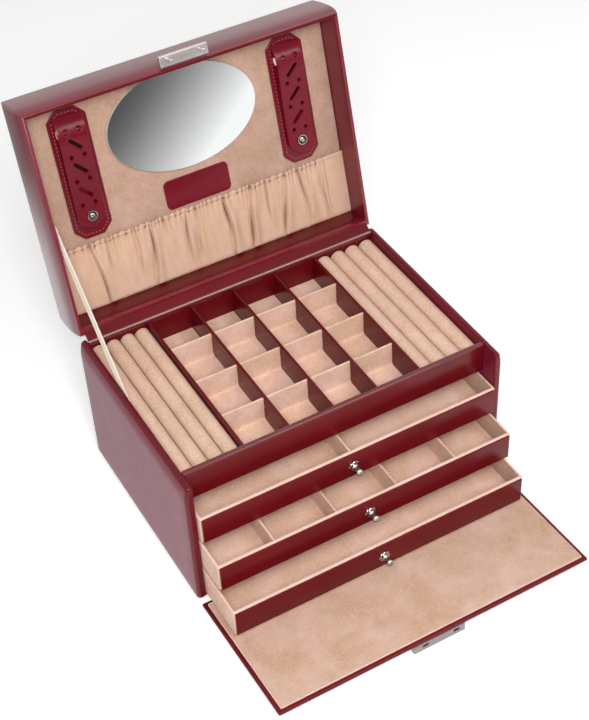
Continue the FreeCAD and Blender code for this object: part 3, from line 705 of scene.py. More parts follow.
def paddedPanel(box, look, side):
    # rings from the inner face round the edge, then over the outer face, a parabola that leans to its edges
    low, high = box
    inner, outer = (high[0], low[0]) if side < 0 else (low[0], high[0])
    outer += side * look["panelSwell"]
    outline = boxRect(low[1:], high[1:], look["panelCorner"])
    q = quarter(8)
    e, r, over = look["panelInner"], look["panelOuter"], look["panelOver"]
    start = look["panelLean"] * (1 - r / over) ** 2
    profile = list(zip(e * (1 - np.sin(q)), inner + side * e * (1 - np.cos(q))))
    profile += list(zip(r * (1 - np.cos(q)), outer - side * (start + r * (1 - np.sin(q)))))
    d = np.linspace(r, over, look["panelRings"])[1:]
    profile += list(zip(d, outer - side * look["panelLean"] * (1 - d / over) ** 2))
    points, quads, rings = ringPart(withMore(outline, look["panelPoints"]), profile, order=(1, 2, 0))
    # a second parabola leans the top of the outer face further back
    share = np.clip((points[:, 0] - inner) / (outer - inner), 0, 1)
    near = np.clip(1 - (high[2] - points[:, 2]) / over, 0, 1)
    points[:, 0] -= side * look["topLean"] * share * near ** 2
    return points, quads, rings


def onPanelRim(low, high, rim):  # a test for the faces along the front and top edges
    return lambda middle: (middle[:, 1] < low[1] + rim) | (middle[:, 2] > high[2] - rim)


for side, sign in (("left", -1), ("right", 1)):
    node = side + "_side_panel"
    low, high = extent(node)
    board = paddedPanel((low, high), boardLook, sign)
    # painted shade: the top and front edges take the darker rim leather
    rimTest = onPanelRim(low, high, boardLook["panelRim"])
    addPiece(side + "SidePanel", [board], panelLeather, "case", "burgundy_leather", node,
             second=(rimLeatherShaded, rimTest))
board = softBoard(extent("back_panel"), boardLook["backEdge"], axis=1)
addPiece("backPanel", [board], frontLeather, "case", "burgundy_leather", "back_panel")
railBox = extent("tray_front_rail")
board = softBoard(railBox, boardLook["railEdge"], axis=1)
addPiece("trayRail", [board], frontLeather, "case", "burgundy_leather", "tray_front_rail",
         second=(edgeLeather, above(railBox[1][2] - boardLook["railGloss"])))
walls = [softBoard(box, boardLook["partitionEdge"], axis=0) for box in solidExtents("tray_partitions")]
addPiece("trayPartitions", walls, frontLeather, "case", "burgundy_leather", "tray_partitions")
print("carcass boards ready")


# tray cells: one folded suede card for each column, floor, cove, wall, round top, wall, floor again

cellLook = {
    "coveRadius": 2.6 * mm, "heelRadius": 1.0 * mm, "columns": 9, "arcSteps": 6,
    "wave": 0.12 * mm, "waveAcross": 150, "waveAlong": 40,
}


def cellProfile(floor, walls, look):
    # (y, z) pairs: for each wall a hollow quarter circle, a half circle over its top and a smaller hollow one
    low, high = floor
    top = high[2]
    q = quarter(look["arcSteps"])
    cove, heel = look["coveRadius"], look["heelRadius"]
    runs = [[(low[1], low[2]), (low[1], top)]]
    for wallLow, wallHigh in walls:
        front, back, crest = wallLow[1], wallHigh[1], wallHigh[2]
        cap = (back - front) / 2
        runs.append(np.column_stack([front - cove + cove * np.sin(q), top + cove - cove * np.cos(q)]))
        bend = np.concatenate([math.pi - q, math.pi / 2 - q[1:]])
        runs.append(np.column_stack([front + cap + cap * np.cos(bend), crest - cap + cap * np.sin(bend)]))
        runs.append(np.column_stack([back + heel - heel * np.cos(q), top + heel - heel * np.sin(q)]))
    runs.append([(high[1], top), (high[1], low[2])])
    return np.concatenate([np.array(r) for r in runs])


def carried(section, x):  # a (y, z) section repeated at each x
    points = np.empty((len(x), len(section), 3))
    points[..., 0] = x[:, None]
    points[..., 1:] = section[None]
    return points


for column in range(1, 5):
    floorNode, wallNode = "cell_floor_%d" % column, "cross_dividers_%d" % column
    floor = max(solidExtents(floorNode), key=lambda box: box[1][1] - box[0][1])
    walls = sorted(solidExtents(wallNode), key=lambda box: box[0][1])
    section = cellProfile(floor, walls, cellLook)
    x = np.linspace(floor[0][0], floor[1][0], cellLook["columns"])
    points = carried(section, x)
    rise = np.clip((points[..., 2] - floor[1][2]) / (walls[0][1][2] - floor[1][2]), 0, 1)
    phase = x[:, None] * cellLook["waveAcross"] + column + section[None, :, 0] * cellLook["waveAlong"]
    points[..., 1] += cellLook["wave"] * rise * np.sin(phase)
    card = gridPart(points)
    addPiece("cellCard%d" % column, [card], suede, "case", "beige_suede", floorNode, wallNode)
print("tray cells ready")


# ring rolls: an arch section drawn in at the foot, carried along y, closed by rounded ends

rollLook = {
    "endRound": 1.6 * mm, "footIn": 0.5 * mm, "archSteps": 20, "stations": 60, "uneven": 0.10 * mm,
    "swells": ((95, 1.7, 1.0), (233, 2.9, 0.6)),  # waves along y: rate, shift from roll to roll, share
    "creaseTo": 3.4 * mm, "creasePower": 1.5,
}


def rollPart(box, look, seed):
    low, high = box
    half = (high[0] - low[0]) / 2
    centre, level = (high[0] + low[0]) / 2, (low[2] + high[2]) / 2
    turn = np.linspace(0, math.pi, look["archSteps"] + 1)
    shoulder = high[2] - half
    arch = np.column_stack([half * np.cos(turn), shoulder + half * np.sin(turn)])
    foot = [(-half + look["footIn"], low[2]), (half - look["footIn"], low[2])]
    section = np.concatenate([arch, foot]) - [0, level]
    upper = section[:, 1] > 0
    q = quarter(6)
    endShare = 1 - look["endRound"] / half * (1 - np.sin(q))
    shares = np.concatenate([endShare, np.ones(look["stations"]), endShare[::-1]])[:, None]
    endY = look["endRound"] * (1 - np.cos(q))
    run = np.linspace(low[1] + look["endRound"], high[1] - look["endRound"], look["stations"] + 2)[1:-1]
    y = np.concatenate([low[1] + endY, run, (high[1] - endY)[::-1]])
    points = np.empty((len(y), len(section), 3))
    points[..., 0] = centre + shares * section[None, :, 0]
    points[..., 1] = y[:, None]
    points[..., 2] = level + np.where(upper, shares, 1) * section[None, :, 1]
    soft = sum(share * np.sin(y * rate + seed * shift) for rate, shift, share in look["swells"])
    points[..., 2] += look["uneven"] * soft[:, None] * upper
    return gridPart(points)


for side in ("left", "right"):
    node = "ring_rolls_" + side
    boxes = solidExtents(node)
    rolls = [rollPart(box, rollLook, i) for i, box in enumerate(boxes)]
    piece = addPiece("ringRolls" + side.capitalize(), rolls, rollSuede, "case", "beige_suede", node)
    low, high = boxes[0]
    touch = high[2] - (high[0] - low[0]) / 2  # the height where neighbours touch
    # painted shade: each roll darkens down towards where its neighbours touch
    rise = meshPoints(piece.data)[:, 2] - touch
    setPaintedShade(piece, np.clip(1 - rise / rollLook["creaseTo"], 0, 1) ** rollLook["creasePower"])
print("ring rolls ready")


# drawers: a suede tray with a soft rim, a leather front, thin dividers, a turned knob on a lobed rosette

drawerLook = {
    "rim": 1.0 * mm, "corner": 1.4 * mm, "wall": 2.2 * mm, "floor": 2.6 * mm, "cove": 1.6 * mm,
    "weltHighlightShare": 0.22, "dividerIn": 0.9 * mm, "dividerEdge": 0.9 * mm,
    "frontEdge": 0.55 * mm, "frontCorner": 0.8 * mm,
}
knobLook = {
    # (radius, height) pairs in mm
    "profile": ((2.8, 0.0), (2.8, 0.5), (2.3, 1.0), (1.9, 1.8), (1.75, 3.0), (1.9, 4.2), (2.5, 4.6),
                (2.6, 5.0), (3.05, 5.6), (3.3, 6.5), (3.25, 7.4), (2.9, 8.3), (2.2, 9.0), (1.3, 9.4),
                (0.4, 9.55)),
}
rosetteLook = {
    "lobes": 8, "lobeDepth": 0.11, "lobeFade": 1.6, "around": 96,
    # (share of the radius, share of the depth) pairs
    "petal": ((1.0, 0.0), (1.0, 0.45), (0.93, 0.75), (0.8, 0.8), (0.62, 0.7), (0.4, 0.95), (0.2, 1.0)),
}


def drawerTray(box, look):
    # rings up the outside, over a rounded rim, down the inside and through a cove to the floor
    low, high = box
    outline = boxRect(low[:2], high[:2], look["corner"])
    rim, wall, cove = look["rim"], look["wall"], look["cove"]
    outside = edgeProfile(low[2], high[2], rim)
    q = quarter(4)
    inside = np.column_stack([wall - rim * np.cos(q), high[2] - rim * (1 - np.sin(q))])[::-1]
    floorTop = low[2] + look["floor"]
    bottom = np.column_stack([wall + cove * (1 - np.cos(q)), floorTop + cove * (1 - np.sin(q))])
    return ringPart(outline, np.concatenate([outside, inside, bottom]))


def rosettePart(box, look):
    # radius swells and dips with the angle, less so towards the middle, where the petals rise
    low, high = box
    radius = (high[0] - low[0]) / 2
    centre = (low + high) / 2
    turn = np.linspace(0, 2 * math.pi, look["around"], endpoint=False)
    dip = -look["lobeDepth"] * (0.5 - 0.5 * np.cos(look["lobes"] * turn))
    share, lift = np.array(look["petal"]).T
    fade = np.clip(1 - look["lobeFade"] * (1 - share), 0, 1)
    reach = share[:, None] * (1 + dip[None] * fade[:, None])
    points = np.empty((len(share), len(turn), 3))
    points[..., 0] = centre[0] + radius * reach * np.cos(turn)
    points[..., 2] = centre[2] + radius * reach * np.sin(turn)
    points[..., 1] = (high[1] - lift * (high[1] - low[1]))[:, None]
    return gridPart(points)


for level in ("low", "mid", "top"):
    body = "drawer_" + level
    title = "drawer" + level.capitalize()
    box = extent(body + "_box")
    # painted highlight: paler suede on the crest of the rim
    welt = (weltHighlightSuede, above(box[1][2] - drawerLook["rim"] * drawerLook["weltHighlightShare"]))
    tray = drawerTray(box, drawerLook)
    addPiece(title + "Tray", [tray], suede, body, "beige_suede", body + "_box", second=welt)
    front = softBoard(extent(body + "_front"), drawerLook["frontEdge"], drawerLook["frontCorner"], axis=1)
    addPiece(title + "Front", [front], frontLeather, body, "burgundy_leather", body + "_front")
    if body + "_dividers" in nodes:
        reach = np.array([0, drawerLook["dividerIn"], 0])
        boxes = [(low - reach, high + reach) for low, high in solidExtents(body + "_dividers")]
        walls = [softBoard(box, drawerLook["dividerEdge"], axis=0) for box in boxes]
        addPiece(title + "Dividers", walls, suede, body, "beige_suede", body + "_dividers")
    low, high = extent(body + "_knob")
    foot = ((low[0] + high[0]) / 2, high[1], (low[2] + high[2]) / 2)
    knob = lathePart(np.array(knobLook["profile"]) * mm, foot, (0, -1, 0))
    addPiece(title + "Knob", [knob], nickel, body, "polished_nickel", body + "_knob")
    rosette = rosettePart(extent(body + "_rosette"), rosetteLook)
    addPiece(title + "Rosette", [rosette], nickel, body, "polished_nickel", body + "_rosette")
print("drawers ready")


# lid shell: rings from the ceiling down the inner wall, round the rim, up the outer wall and over the crown

lidLook = {
    "rimOuter": 0.9 * mm, "rimInner": 0.9 * mm, "groove": 0.35 * mm, "grooveIn": 3.6 * mm, "wall": 5.0 * mm,
    "shoulder": 7.0 * mm, "crown": 2.0 * mm, "crownReach": 0.96, "corner": 1.6 * mm, "bulge": 1.1 * mm,
    "rimBend": 2.4 * mm, "bendOver": 15.0 * mm, "rearRim": 1.15 * mm, "rearEase": 5.0 * mm,
    "easeFrom": 1.0 * mm, "lip": 0.45 * mm, "slack": 0.1 * mm,
}
lidBox = extent("lid_shell", lidLocal)
liningBox = extent("lid_lining", lidLocal)


def lidShellPart(box, look):
    low, high = box
    centre, half = (low + high)[:2] / 2, (high - low)[:2] / 2
    rim, base = low[2], high[2] - look["crown"]
    inner, a, b = look["wall"], look["rimInner"], look["rimOuter"]
    g, grooveIn, s = look["groove"], look["grooveIn"], look["shoulder"]
    q = quarter(5)
    profile = [(inner, liningBox[1][2])]
    profile += list(zip(inner - a + a * np.cos(q), rim + a - a * np.sin(q)))
    profile += [(grooveIn + g, rim), (grooveIn, rim + g), (grooveIn - g, rim)]
    # the padded outer wall leans in at the rim, straightens as a parabola, and swells before the shoulder
    draw = look["rimBend"] * (1 - b / look["bendOver"]) ** 2
    profile += list(zip(draw + b - b * np.sin(q), rim + b - b * np.cos(q)))
    wall = np.linspace(0, 1, 17)[1:-1]
    rise = b + wall * (base - s - rim - b)
    lean = look["rimBend"] * np.clip(1 - rise / look["bendOver"], 0, 1) ** 2
    profile += list(zip(lean - look["bulge"] * np.sin(math.pi * wall), rim + rise))
    profile += list(zip(s - s * np.cos(q), base - s + s * np.sin(q)))
    profile += [(s + t * (half.min() - s) * look["crownReach"], base) for t in np.linspace(0, 1, 9)[1:]]
    rings = stackRings(roundRect(centre, half, look["corner"]), profile)
    # the rear wall stands straight: its rings go back by as much as the other three walls lean in
    depth, height = np.array(profile).T
    bend = look["rimBend"] * np.clip(1 - (height - rim) / look["bendOver"], 0, 1) ** 2
    bend = np.where(depth < grooveIn - g - look["slack"], np.minimum(bend, draw), 0)
    rings[..., 1] -= np.where(rings[..., 1] < centre[1], bend[:, None], 0)
    # the rear rim sits back under the hinge strip
    rear = rings[..., 1] < low[1] + inner + look["slack"]
    start = look["easeFrom"]
    ease = look["rearEase"] * np.clip((rings[..., 1] - low[1] - start) / (inner - start), 0, 1) ** 2
    ease *= np.abs(rings[..., 0] - centre[0]) < half[0] - inner + look["slack"]
    rings[..., 2] = np.where(rear, np.maximum(rings[..., 2], look["rearRim"] + ease), rings[..., 2])
    # the crown is a parabola across and along
    top = rings[..., 2] >= base - 1e-9
    share = np.clip(1 - ((rings[..., :2] - centre) / (half - s)) ** 2, 0, 1).prod(-1)
    rings[..., 2] += np.where(top, look["crown"] * share, 0)
    return gridPart(lidPlace(rings))


def onLidWall(middle):
    return lidLocal(middle)[:, 2] > lidBox[0][2] + lidLook["lip"]


addPiece("lidShell", [lidShellPart(lidBox, lidLook)], frontLeather, "lid", "burgundy_leather", "lid_shell",
         second=(lidLeather, onLidWall))

liningLook = {"edge": 1.2 * mm, "corner": 1.5 * mm}
lining = softBoard(liningBox, liningLook["edge"], liningLook["corner"], place=lidPlace)
addPiece("lidLining", [lining], lidSuedeShaded, "lid", "beige_suede", "lid_lining")

mirrorLook = {"bevel": 0.75 * mm, "edgeHeight": 0.3 * mm, "flatIn": 0.2 * mm, "edgeShare": 1.02, "sharp": 3}
mirrorBox = extent("mirror", lidLocal)


def mirrorPart(box, look):
    # an oval disc: a short side, a slope and the flat face
    low, high = box
    bevel, face, back = look["bevel"], low[2], high[2]
    profile = [(0, back), (0, back - look["edgeHeight"]), (bevel, face), (bevel + look["flatIn"], face)]
    return ringPart(oval((low + high)[:2] / 2, (high - low)[:2] / 2), profile, lidPlace)


# painted highlight: the bevel round the mirror is painted a pale matte tone
def onGlassEdge(middle):
    low, high = mirrorBox
    off = (lidLocal(middle) - (low + high) / 2)[:, :2]
    inner = (high - low)[:2] / 2 - mirrorLook["bevel"] * mirrorLook["edgeShare"]
    return np.linalg.norm(off / inner, axis=1) > 1


addPiece("mirror", [mirrorPart(mirrorBox, mirrorLook)], mirrorGlass, "lid", "mirror_glass", "mirror",
         sharp=mirrorLook["sharp"], second=(glassEdgeHighlight, onGlassEdge))

labelLook = {"edge": 0.5 * mm, "corner": 4.6 * mm}
label = softBoard(extent("label_patch", lidLocal), labelLook["edge"], labelLook["corner"], place=lidPlace)
addPiece("labelPatch", [label], strapLeather, "lid", "burgundy_leather", "label_patch")
print("lid ready")


# pocket: cloth that puffs out between slanting folds, gathered into an elastic hem, with a flat right end

pocketLook = {
    # each fold's place at the hem and at the foot in mm, the share of the height where it starts, its depth
    "foldsHem": (-105.5, -92.0, -65.4, -50.4, -36.8, -16.8, -8.3, 20.0, 47.7, 61.1, 80.4, 95.7, 118.0),
    "foldsLow": (-100.0, -88.0, -63.8, -53.9, -34.2, -19.5, -8.0, 22.6, 39.0, 62.2, 74.0, 99.3, 119.0),
    "foldEnds": (-0.3, 0.35, 0.2, -0.3, 0.55, 0.0, 0.1, -0.3, -0.3, 0.2, -0.3, -0.1, -0.3),
    "foldDepth": (0.8, 0.5, 0.7, 1.0, 0.5, 0.8, 0.6, 1.0, 1.0, 0.6, 0.9, 0.8, 0.7),
    "foldGrow": 0.3, "sway": 1.0 * mm, "steep": 1.5 * mm, "gentle": 5.0 * mm,
    "level": 0.35, "hollowDepth": 0.55, "hollowOff": 3.0 * mm, "hollow": 1.6 * mm,
    "creaseOff": 2.4 * mm, "crease": 0.75 * mm, "base": 2.4 * mm, "puff": 3.3 * mm, "thick": 0.7 * mm,
    "pucker": 0.7 * mm, "puckerPitch": 5.2 * mm, "puckerRun": 7.0 * mm, "scallop": 0.9 * mm,
    "hem": 3.4 * mm, "hemRoll": 0.6 * mm, "hemGroove": 1.3 * mm, "grooveWidth": 1.0 * mm,
    "dipShadeWidth": 1.1 * mm, "puckerShadeRun": 6.0 * mm, "footHeight": 1.6 * mm, "footRound": 1.3 * mm,
    "flatFrom": 121.0 * mm, "flatOver": 6.0 * mm, "flatLeast": 0.08, "sideGap": 0.3 * mm,
    "ripples": ((0.10, 0.31), (0.07, 0.73)),  # share of the puff, turn in radians for each mm across
    "swell": (0.16, 0.7, 0.6),  # a sine from this share of its half wave, over this much of it, to this power
    "scallopPower": 12, "columns": 640, "rows": 64,
}


def bell(distance, width):
    return np.exp(-(distance / width) ** 2)


def pocketFolds(a, v, look):
    # each fold is a rounded ridge, steep on its left and slow on its right, with a hollow at the steep foot;
    # returns the relief, and how dark the painted shade along each foot is
    hem, foot = np.array(look["foldsHem"]) * mm, np.array(look["foldsLow"]) * mm
    a, v, each = a[..., None], v[..., None], np.arange(len(hem))
    line = foot + (hem - foot) * v + look["sway"] * np.sin(5 * v + 1.7 * each)
    presence = np.array(look["foldDepth"]) * np.clip((v - look["foldEnds"]) / look["foldGrow"], 0, 1)
    left = line - a
    ridge = presence * bell(left, np.where(left > 0, look["steep"], look["gentle"]))
    hollow = presence * bell(left - look["hollowOff"], look["hollow"])
    crease = presence * bell(left - look["creaseOff"], look["crease"])
    crease *= 0.55 + 0.45 * np.sin(7 * v + 3.1 * each)
    return look["level"] + ridge.max(-1) - look["hollowDepth"] * hollow.max(-1), crease.max(-1)


def pocketBeat(a, look):  # small puckers along the elastic, unevenly spaced
    uneven = 2.2 * np.sin(a / mm * 0.137) + 1.1 * np.sin(a / mm * 0.29 + 1.0)
    return np.sin(2 * math.pi * a / look["puckerPitch"] + uneven)


def pocketFade(a, look):  # the right end lies flat
    return np.clip((look["flatFrom"] - a) / look["flatOver"], look["flatLeast"], 1)


def belowHem(fromTop, run, look):  # 1 at the hem, dying away below it
    return np.exp(-np.clip(fromTop - look["hem"], 0, None) / run)


def pocketPart(box, look):
    # height over the lining: folds and ripples that swell in the middle; puckers, groove and roll at the hem
    low, high = box
    across = np.linspace(low[0] + look["sideGap"], high[0] - look["sideGap"], look["columns"])
    a, v = np.meshgrid(across, np.linspace(0, 1, look["rows"]), indexing="ij")
    tall = high[1] - low[1]
    relief = pocketFolds(a, v, look)[0]
    wander = (2.0 * np.sin(5 * v), 4.0 * v)  # the ripples shift up the cloth
    ripple = sum(deep * np.sin(a / mm * rate + shift) for (deep, rate), shift in zip(look["ripples"], wander))
    start, span, power = look["swell"]
    rise = np.sin(math.pi * np.clip(start + span * v, 0, 1)) ** power
    fade, beat = pocketFade(a, look), pocketBeat(a, look)
    b = low[1] + v * tall + look["scallop"] * v ** look["scallopPower"] * beat * fade
    fromTop = (1 - v) * tall
    height = look["base"] + look["puff"] * rise * fade * (relief + ripple)
    height += look["pucker"] * belowHem(fromTop, look["puckerRun"], look) * beat * fade
    groove = bell(fromTop - look["hem"], look["grooveWidth"])
    height -= look["hemGroove"] * groove * np.clip(0.4 - 0.6 * beat, 0, 1) * fade
    height += look["hemRoll"] * np.sin(math.pi * np.clip(fromTop / look["hem"], 0, 1))
    height -= (height - look["footHeight"]) * bell(b - low[1], look["footRound"])
    front = np.stack([a, b, liningBox[0][2] - height], -1)
    back = front + [0, 0, look["thick"]]
    return gridPart(lidPlace(np.concatenate([front, back[:, ::-1]], 1)))


def pocketPaintedShade(piece, box, look):
    # painted shade: dark along the foot of each fold and in the dips of the puckers under the hem
    a, b = lidLocal(meshPoints(piece.data)).T[:2]
    tall = box[1][1] - box[0][1]
    v = np.clip((b - box[0][1]) / tall, 0, 1)
    fromTop, beat = (1 - v) * tall, pocketBeat(a, look)
    dipShade = bell(fromTop - look["hem"], look["dipShadeWidth"]) * np.clip(-0.35 - beat, 0, 1)
    dipShade *= 0.75 + 0.6 * np.sin(a / mm * 0.41)
    puckerShade = belowHem(fromTop, look["puckerShadeRun"], look) * np.clip(-0.6 - beat, 0, 1)
    return np.clip(pocketFolds(a, v, look)[1] + dipShade + puckerShade, 0, 1) * pocketFade(a, look)


pocketBox = extent("lid_pocket", lidLocal)
pocket = pocketPart(pocketBox, pocketLook)
piece = addPiece("lidPocket", [pocket], cloth, "lid", "beige_cloth", "lid_pocket")
setPaintedShade(piece, pocketPaintedShade(piece, pocketBox, pocketLook))
print("pocket ready")


# earring straps: stitched plates, a small roll that lifts each pierced strap, press studs

strapLook = {
    "x": 100.5 * mm, "width": 25.4 * mm, "low": 81.5 * mm, "top": 180.5 * mm,
    "thick": 1.6 * mm, "bevel": 0.3 * mm, "step": 2.0 * mm,
    # (b, w) pairs in mm: the strap's middle line, and where it starts and ends bending when it is lifted
    "line": ((81.5, 24.2), (92.0, 24.2), (102.0, 24.1), (118.0, 23.5), (136.0, 22.4), (152.0, 21.1),
             (162.0, 20.2), (167.0, 20.1), (171.0, 20.9), (174.0, 22.4), (176.5, 24.3), (178.6, 26.0),
             (180.5, 27.0)),
    "bendFromTo": ((180.3, 26.9), (171.6, 21.0)), "lineSteps": 400, "smooth": 9,
    "holeRadius": (2.1 * mm, 1.7 * mm, 1.7 * mm, 1.7 * mm), "pair": 11.5 * mm, "pitch": 21.8 * mm,
    "first": 169.4 * mm, "slotHalf": (7.0 * mm, 1.5 * mm), "slotRound": 0.9, "lean": 45.0,
    "shadeSheets": 2, "shadeSheetOver": 0.9 * mm, "shadeSheetDepths": (0.12 * mm, 0.4 * mm),
}
plateLook = {
    "edge": 0.7 * mm, "chamfer": 8.5 * mm, "rounding": 1.2 * mm, "stitchIn": 3.4 * mm, "pitch": 3.3 * mm,
    "stitch": 1.9 * mm, "thread": 0.46 * mm, "sunk": 0.05 * mm,
}
mountLook = {
    "postRadius": 3.0 * mm, "rollEnd": ((0.75, 0.0), (0.93, 0.2 * mm), (1.0, 0.8 * mm)), "creamEnd": 0.9 * mm,
}
studLook = {
    # (radius, height) pairs in mm
    "profile": ((4.7, 0.0), (4.7, 1.5), (4.5, 1.8), (4.1, 1.9), (3.7, 1.75), (3.55, 1.4), (3.45, 0.5),
                (3.1, 0.3), (2.75, 0.4), (2.6, 1.2), (2.2, 1.75), (1.5, 2.05), (0.8, 2.18), (0.2, 2.2)),
    "grooveAt": 3.1 * mm, "grooveHalf": 0.5 * mm,
}


def strapPlace(look):
    # the line is smoothed, then a point's height stands square to it
    spots, heights = np.array(look["line"]).T * mm
    fine = np.linspace(spots[0], spots[-1], look["lineSteps"])
    curve = np.interp(fine, spots, heights)
    window = np.hanning(2 * look["smooth"] + 1)
    padded = np.pad(curve, look["smooth"], mode="reflect", reflect_type="odd")
    curve = np.convolve(padded, window / window.sum(), "valid")
    slope = np.gradient(curve, fine)

    def place(p):
        a, b, depth = p[..., 0], p[..., 1], p[..., 2]
        h = look["thick"] - depth
        w, d = np.interp(b, fine, curve), np.interp(b, fine, slope)
        norm = np.sqrt(1 + d * d)
        return lidPlace(np.stack([a, b + h * d / norm, w - h / norm], -1))

    return place


def slotOutlines(look, side, count, over=0.0):  # slanting slots half way between the rows of holes
    half = np.array(look["slotHalf"]) + over
    turn = math.radians(side * look["lean"])
    spots = [(side * look["x"], look["first"] - (row + 0.5) * look["pitch"]) for row in range(count)]
    return [turnedRect(spot, half, half[1] * look["slotRound"], turn) for spot in spots]


def strapParts(look, side):
    # a half round tip and two straight sides, with pairs of round holes and slots between them
    x, half = side * look["x"], look["width"] / 2
    low, top = look["low"], look["top"]
    turn = np.linspace(math.pi, 2 * math.pi, 25)
    lift = np.linspace(low + half, top, 24)[1:]

    def outer(d):
        r = half - d
        tip = np.column_stack([x + r * np.cos(turn), low + half + r * np.sin(turn)])
        right = np.column_stack([np.full(len(lift), x + r), lift])
        return np.concatenate([tip, right, np.column_stack([np.full(len(lift), x - r), lift[::-1]])])

    holes = slotOutlines(look, side, len(look["holeRadius"]) - 1)
    for row, radius in enumerate(look["holeRadius"]):
        b = look["first"] - row * look["pitch"]
        holes += [turnedRect((x + k * look["pair"] / 2, b), (radius, radius), radius, 0.0) for k in (-1, 1)]
    return holedParts(outer, holes, look["bevel"], look["thick"], look["step"], strapPlace(look))


def slotShadeSheets(look, side):  # painted shade: a dark sheet under each of the upper slots
    levels = [(0.0, look["thick"] + depth) for depth in look["shadeSheetDepths"]]
    outlines = slotOutlines(look, side, look["shadeSheets"], look["shadeSheetOver"])
    return [ringPart(outline, levels, strapPlace(look)) for outline in outlines]


def middleAt(low, high, w):  # the middle of a box of the lid's frame, at one depth
    return lidPlace(np.array([*(low + high)[:2] / 2, w]))


def addPlate(tag, look):
    (a0, b0, w0), (a1, b1, w1) = extent("strap_plate_" + tag, lidLocal)
    cut = look["chamfer"]
    corners = [(a0 + cut, b0), (a1 - cut, b0), (a1, b0 + cut), (a1, b1 - cut),
               (a1 - cut, b1), (a0 + cut, b1), (a0, b1 - cut), (a0, b0 + cut)]
    outline = polygon(corners, look["rounding"])
    plate = ringPart(outline, edgeProfile(w0, w1, look["edge"]), lidPlace)
    addPiece("strapPlate" + tag.capitalize(), [plate], strapLeather, "lid", "burgundy_leather",
             "strap_plate_" + tag)
    seam = stitchPart(outline(look["stitchIn"]), look["pitch"], look["stitch"], look["thread"],
                      w0 - look["sunk"], lidPlace)
    addPiece("strapSeam" + tag.capitalize(), [seam], stitchThread, "lid", "burgundy_leather")


def addStrap(side, tag, look):
    strap = putMesh("strap" + tag.capitalize(), strapParts(look, side), strapLeather)
    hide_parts("strap_" + tag)
    sewn, free = lidPlace(np.array([(side * look["x"], b * mm, w * mm) for b, w in look["bendFromTo"]]))
    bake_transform(strap)  # its points kept in the case's frame
    # painted shade: dark sheets under the upper slots darken what shows through them
    shadeSheets = slotShadeSheets(look, side)
    addPiece("strapSlotShade" + tag.capitalize(), shadeSheets, strapShade, "strap_" + tag, "burgundy_leather")


def addMount(tag, look):
    # a post under the stud, and a roll with cream ends under the strap, its side painted dark leather as
    # painted shade seen through the strap's holes
    mounts = sorted(solidExtents("strap_mount_" + tag, lidLocal), key=lambda box: box[0][1])
    low, high = mounts[0]
    profile = [(look["postRadius"], 0.0), (look["postRadius"], high[2] - low[2])]
    post = lathePart(profile, middleAt(low, high, high[2]), lidAim(0, 0, -1))
    addPiece("studPost" + tag.capitalize(), [post], nickel, "lid", "polished_nickel", "strap_mount_" + tag)
    low, high = mounts[1]
    radius, length = (high[1] - low[1]) / 2, high[0] - low[0]
    profile = [(radius * share, run) for share, run in look["rollEnd"]]
    profile += [(r, length - run) for r, run in profile[::-1]]
    start = lidPlace(np.array([low[0], (low[1] + high[1]) / 2, low[2] + radius]))
    roll = lathePart(profile, start, (1, 0, 0))

    def onEnd(middle):
        return np.minimum(middle[:, 0] - low[0], high[0] - middle[:, 0]) < look["creamEnd"]

    # painted shade: the roll's side takes the dark strap leather, only its ends are cream
    addPiece("strapRoll" + tag.capitalize(), [roll], strapLeather, "lid", "cream_ribbon",
             second=(ribbonWeave, onEnd))


def addStud(tag, look):
    low, high = extent("stud_cap_" + tag, lidLocal)
    centre, outward = middleAt(low, high, high[2]), lidAim(0, 0, -1)
    stud = lathePart(np.array(look["profile"]) * mm, centre, outward)

    def inGroove(middle):
        radius = np.linalg.norm(np.cross(middle - centre, outward), axis=1)
        return np.abs(radius - look["grooveAt"]) < look["grooveHalf"]

    # painted shade: the groove is painted dark steel
    addPiece("studCap" + tag.capitalize(), [stud], nickel, "strap_" + tag, "polished_nickel",
             "stud_cap_" + tag, second=(grooveShadeSteel, inGroove))


for side, tag in ((-1, "left"), (1, "right")):
    addPlate(tag, plateLook)
    addStrap(side, tag, strapLook)
    addMount(tag, mountLook)
    addStud(tag, studLook)
print("straps ready")


# lock: a plate with two bent hooks on the lid, a slotted case at the flap's free edge

lockLook = {
    "edge": 0.7 * mm, "deep": 3.6 * mm, "hookAt": (-14.6 * mm, 14.6 * mm), "hookUp": 5.95 * mm,
    "hookRadius": 1.0 * mm, "root": 0.6 * mm, "bend": 1.6 * mm, "toe": 2.6 * mm, "taper": (0.9, 0.6),
}
(a0, b0, w0), (a1, b1, w1) = extent("lock_hook_plate", lidLocal)
plateFace = w1 - lockLook["deep"]
toeFace = w0 + lockLook["hookRadius"]


def hookPart(x, b, look):
    # straight down, round a quarter circle, out to the toe, which tapers
    q, bend = quarter(6), look["bend"]
    turn = np.column_stack([x + bend * (1 - np.cos(q)), np.full(len(q), b), toeFace + bend * (1 - np.sin(q))])
    path = np.concatenate([[(x, b, plateFace + look["root"])], turn, [(x + look["toe"], b, toeFace)]])
    thick = np.full(len(path), look["hookRadius"])
    thick[-len(look["taper"]):] *= look["taper"]
    return tubePart(lidPlace(path), thick, lidAim(0, 1, 0))


parts = [softBoard(((a0, b0, plateFace), (a1, b1, w1)), lockLook["edge"], place=lidPlace)]
parts += [hookPart(x, b0 + lockLook["hookUp"], lockLook) for x in lockLook["hookAt"]]
addPiece("lockHookPlate", parts, satinNickel, "lid", "polished_nickel", "lock_hook_plate")

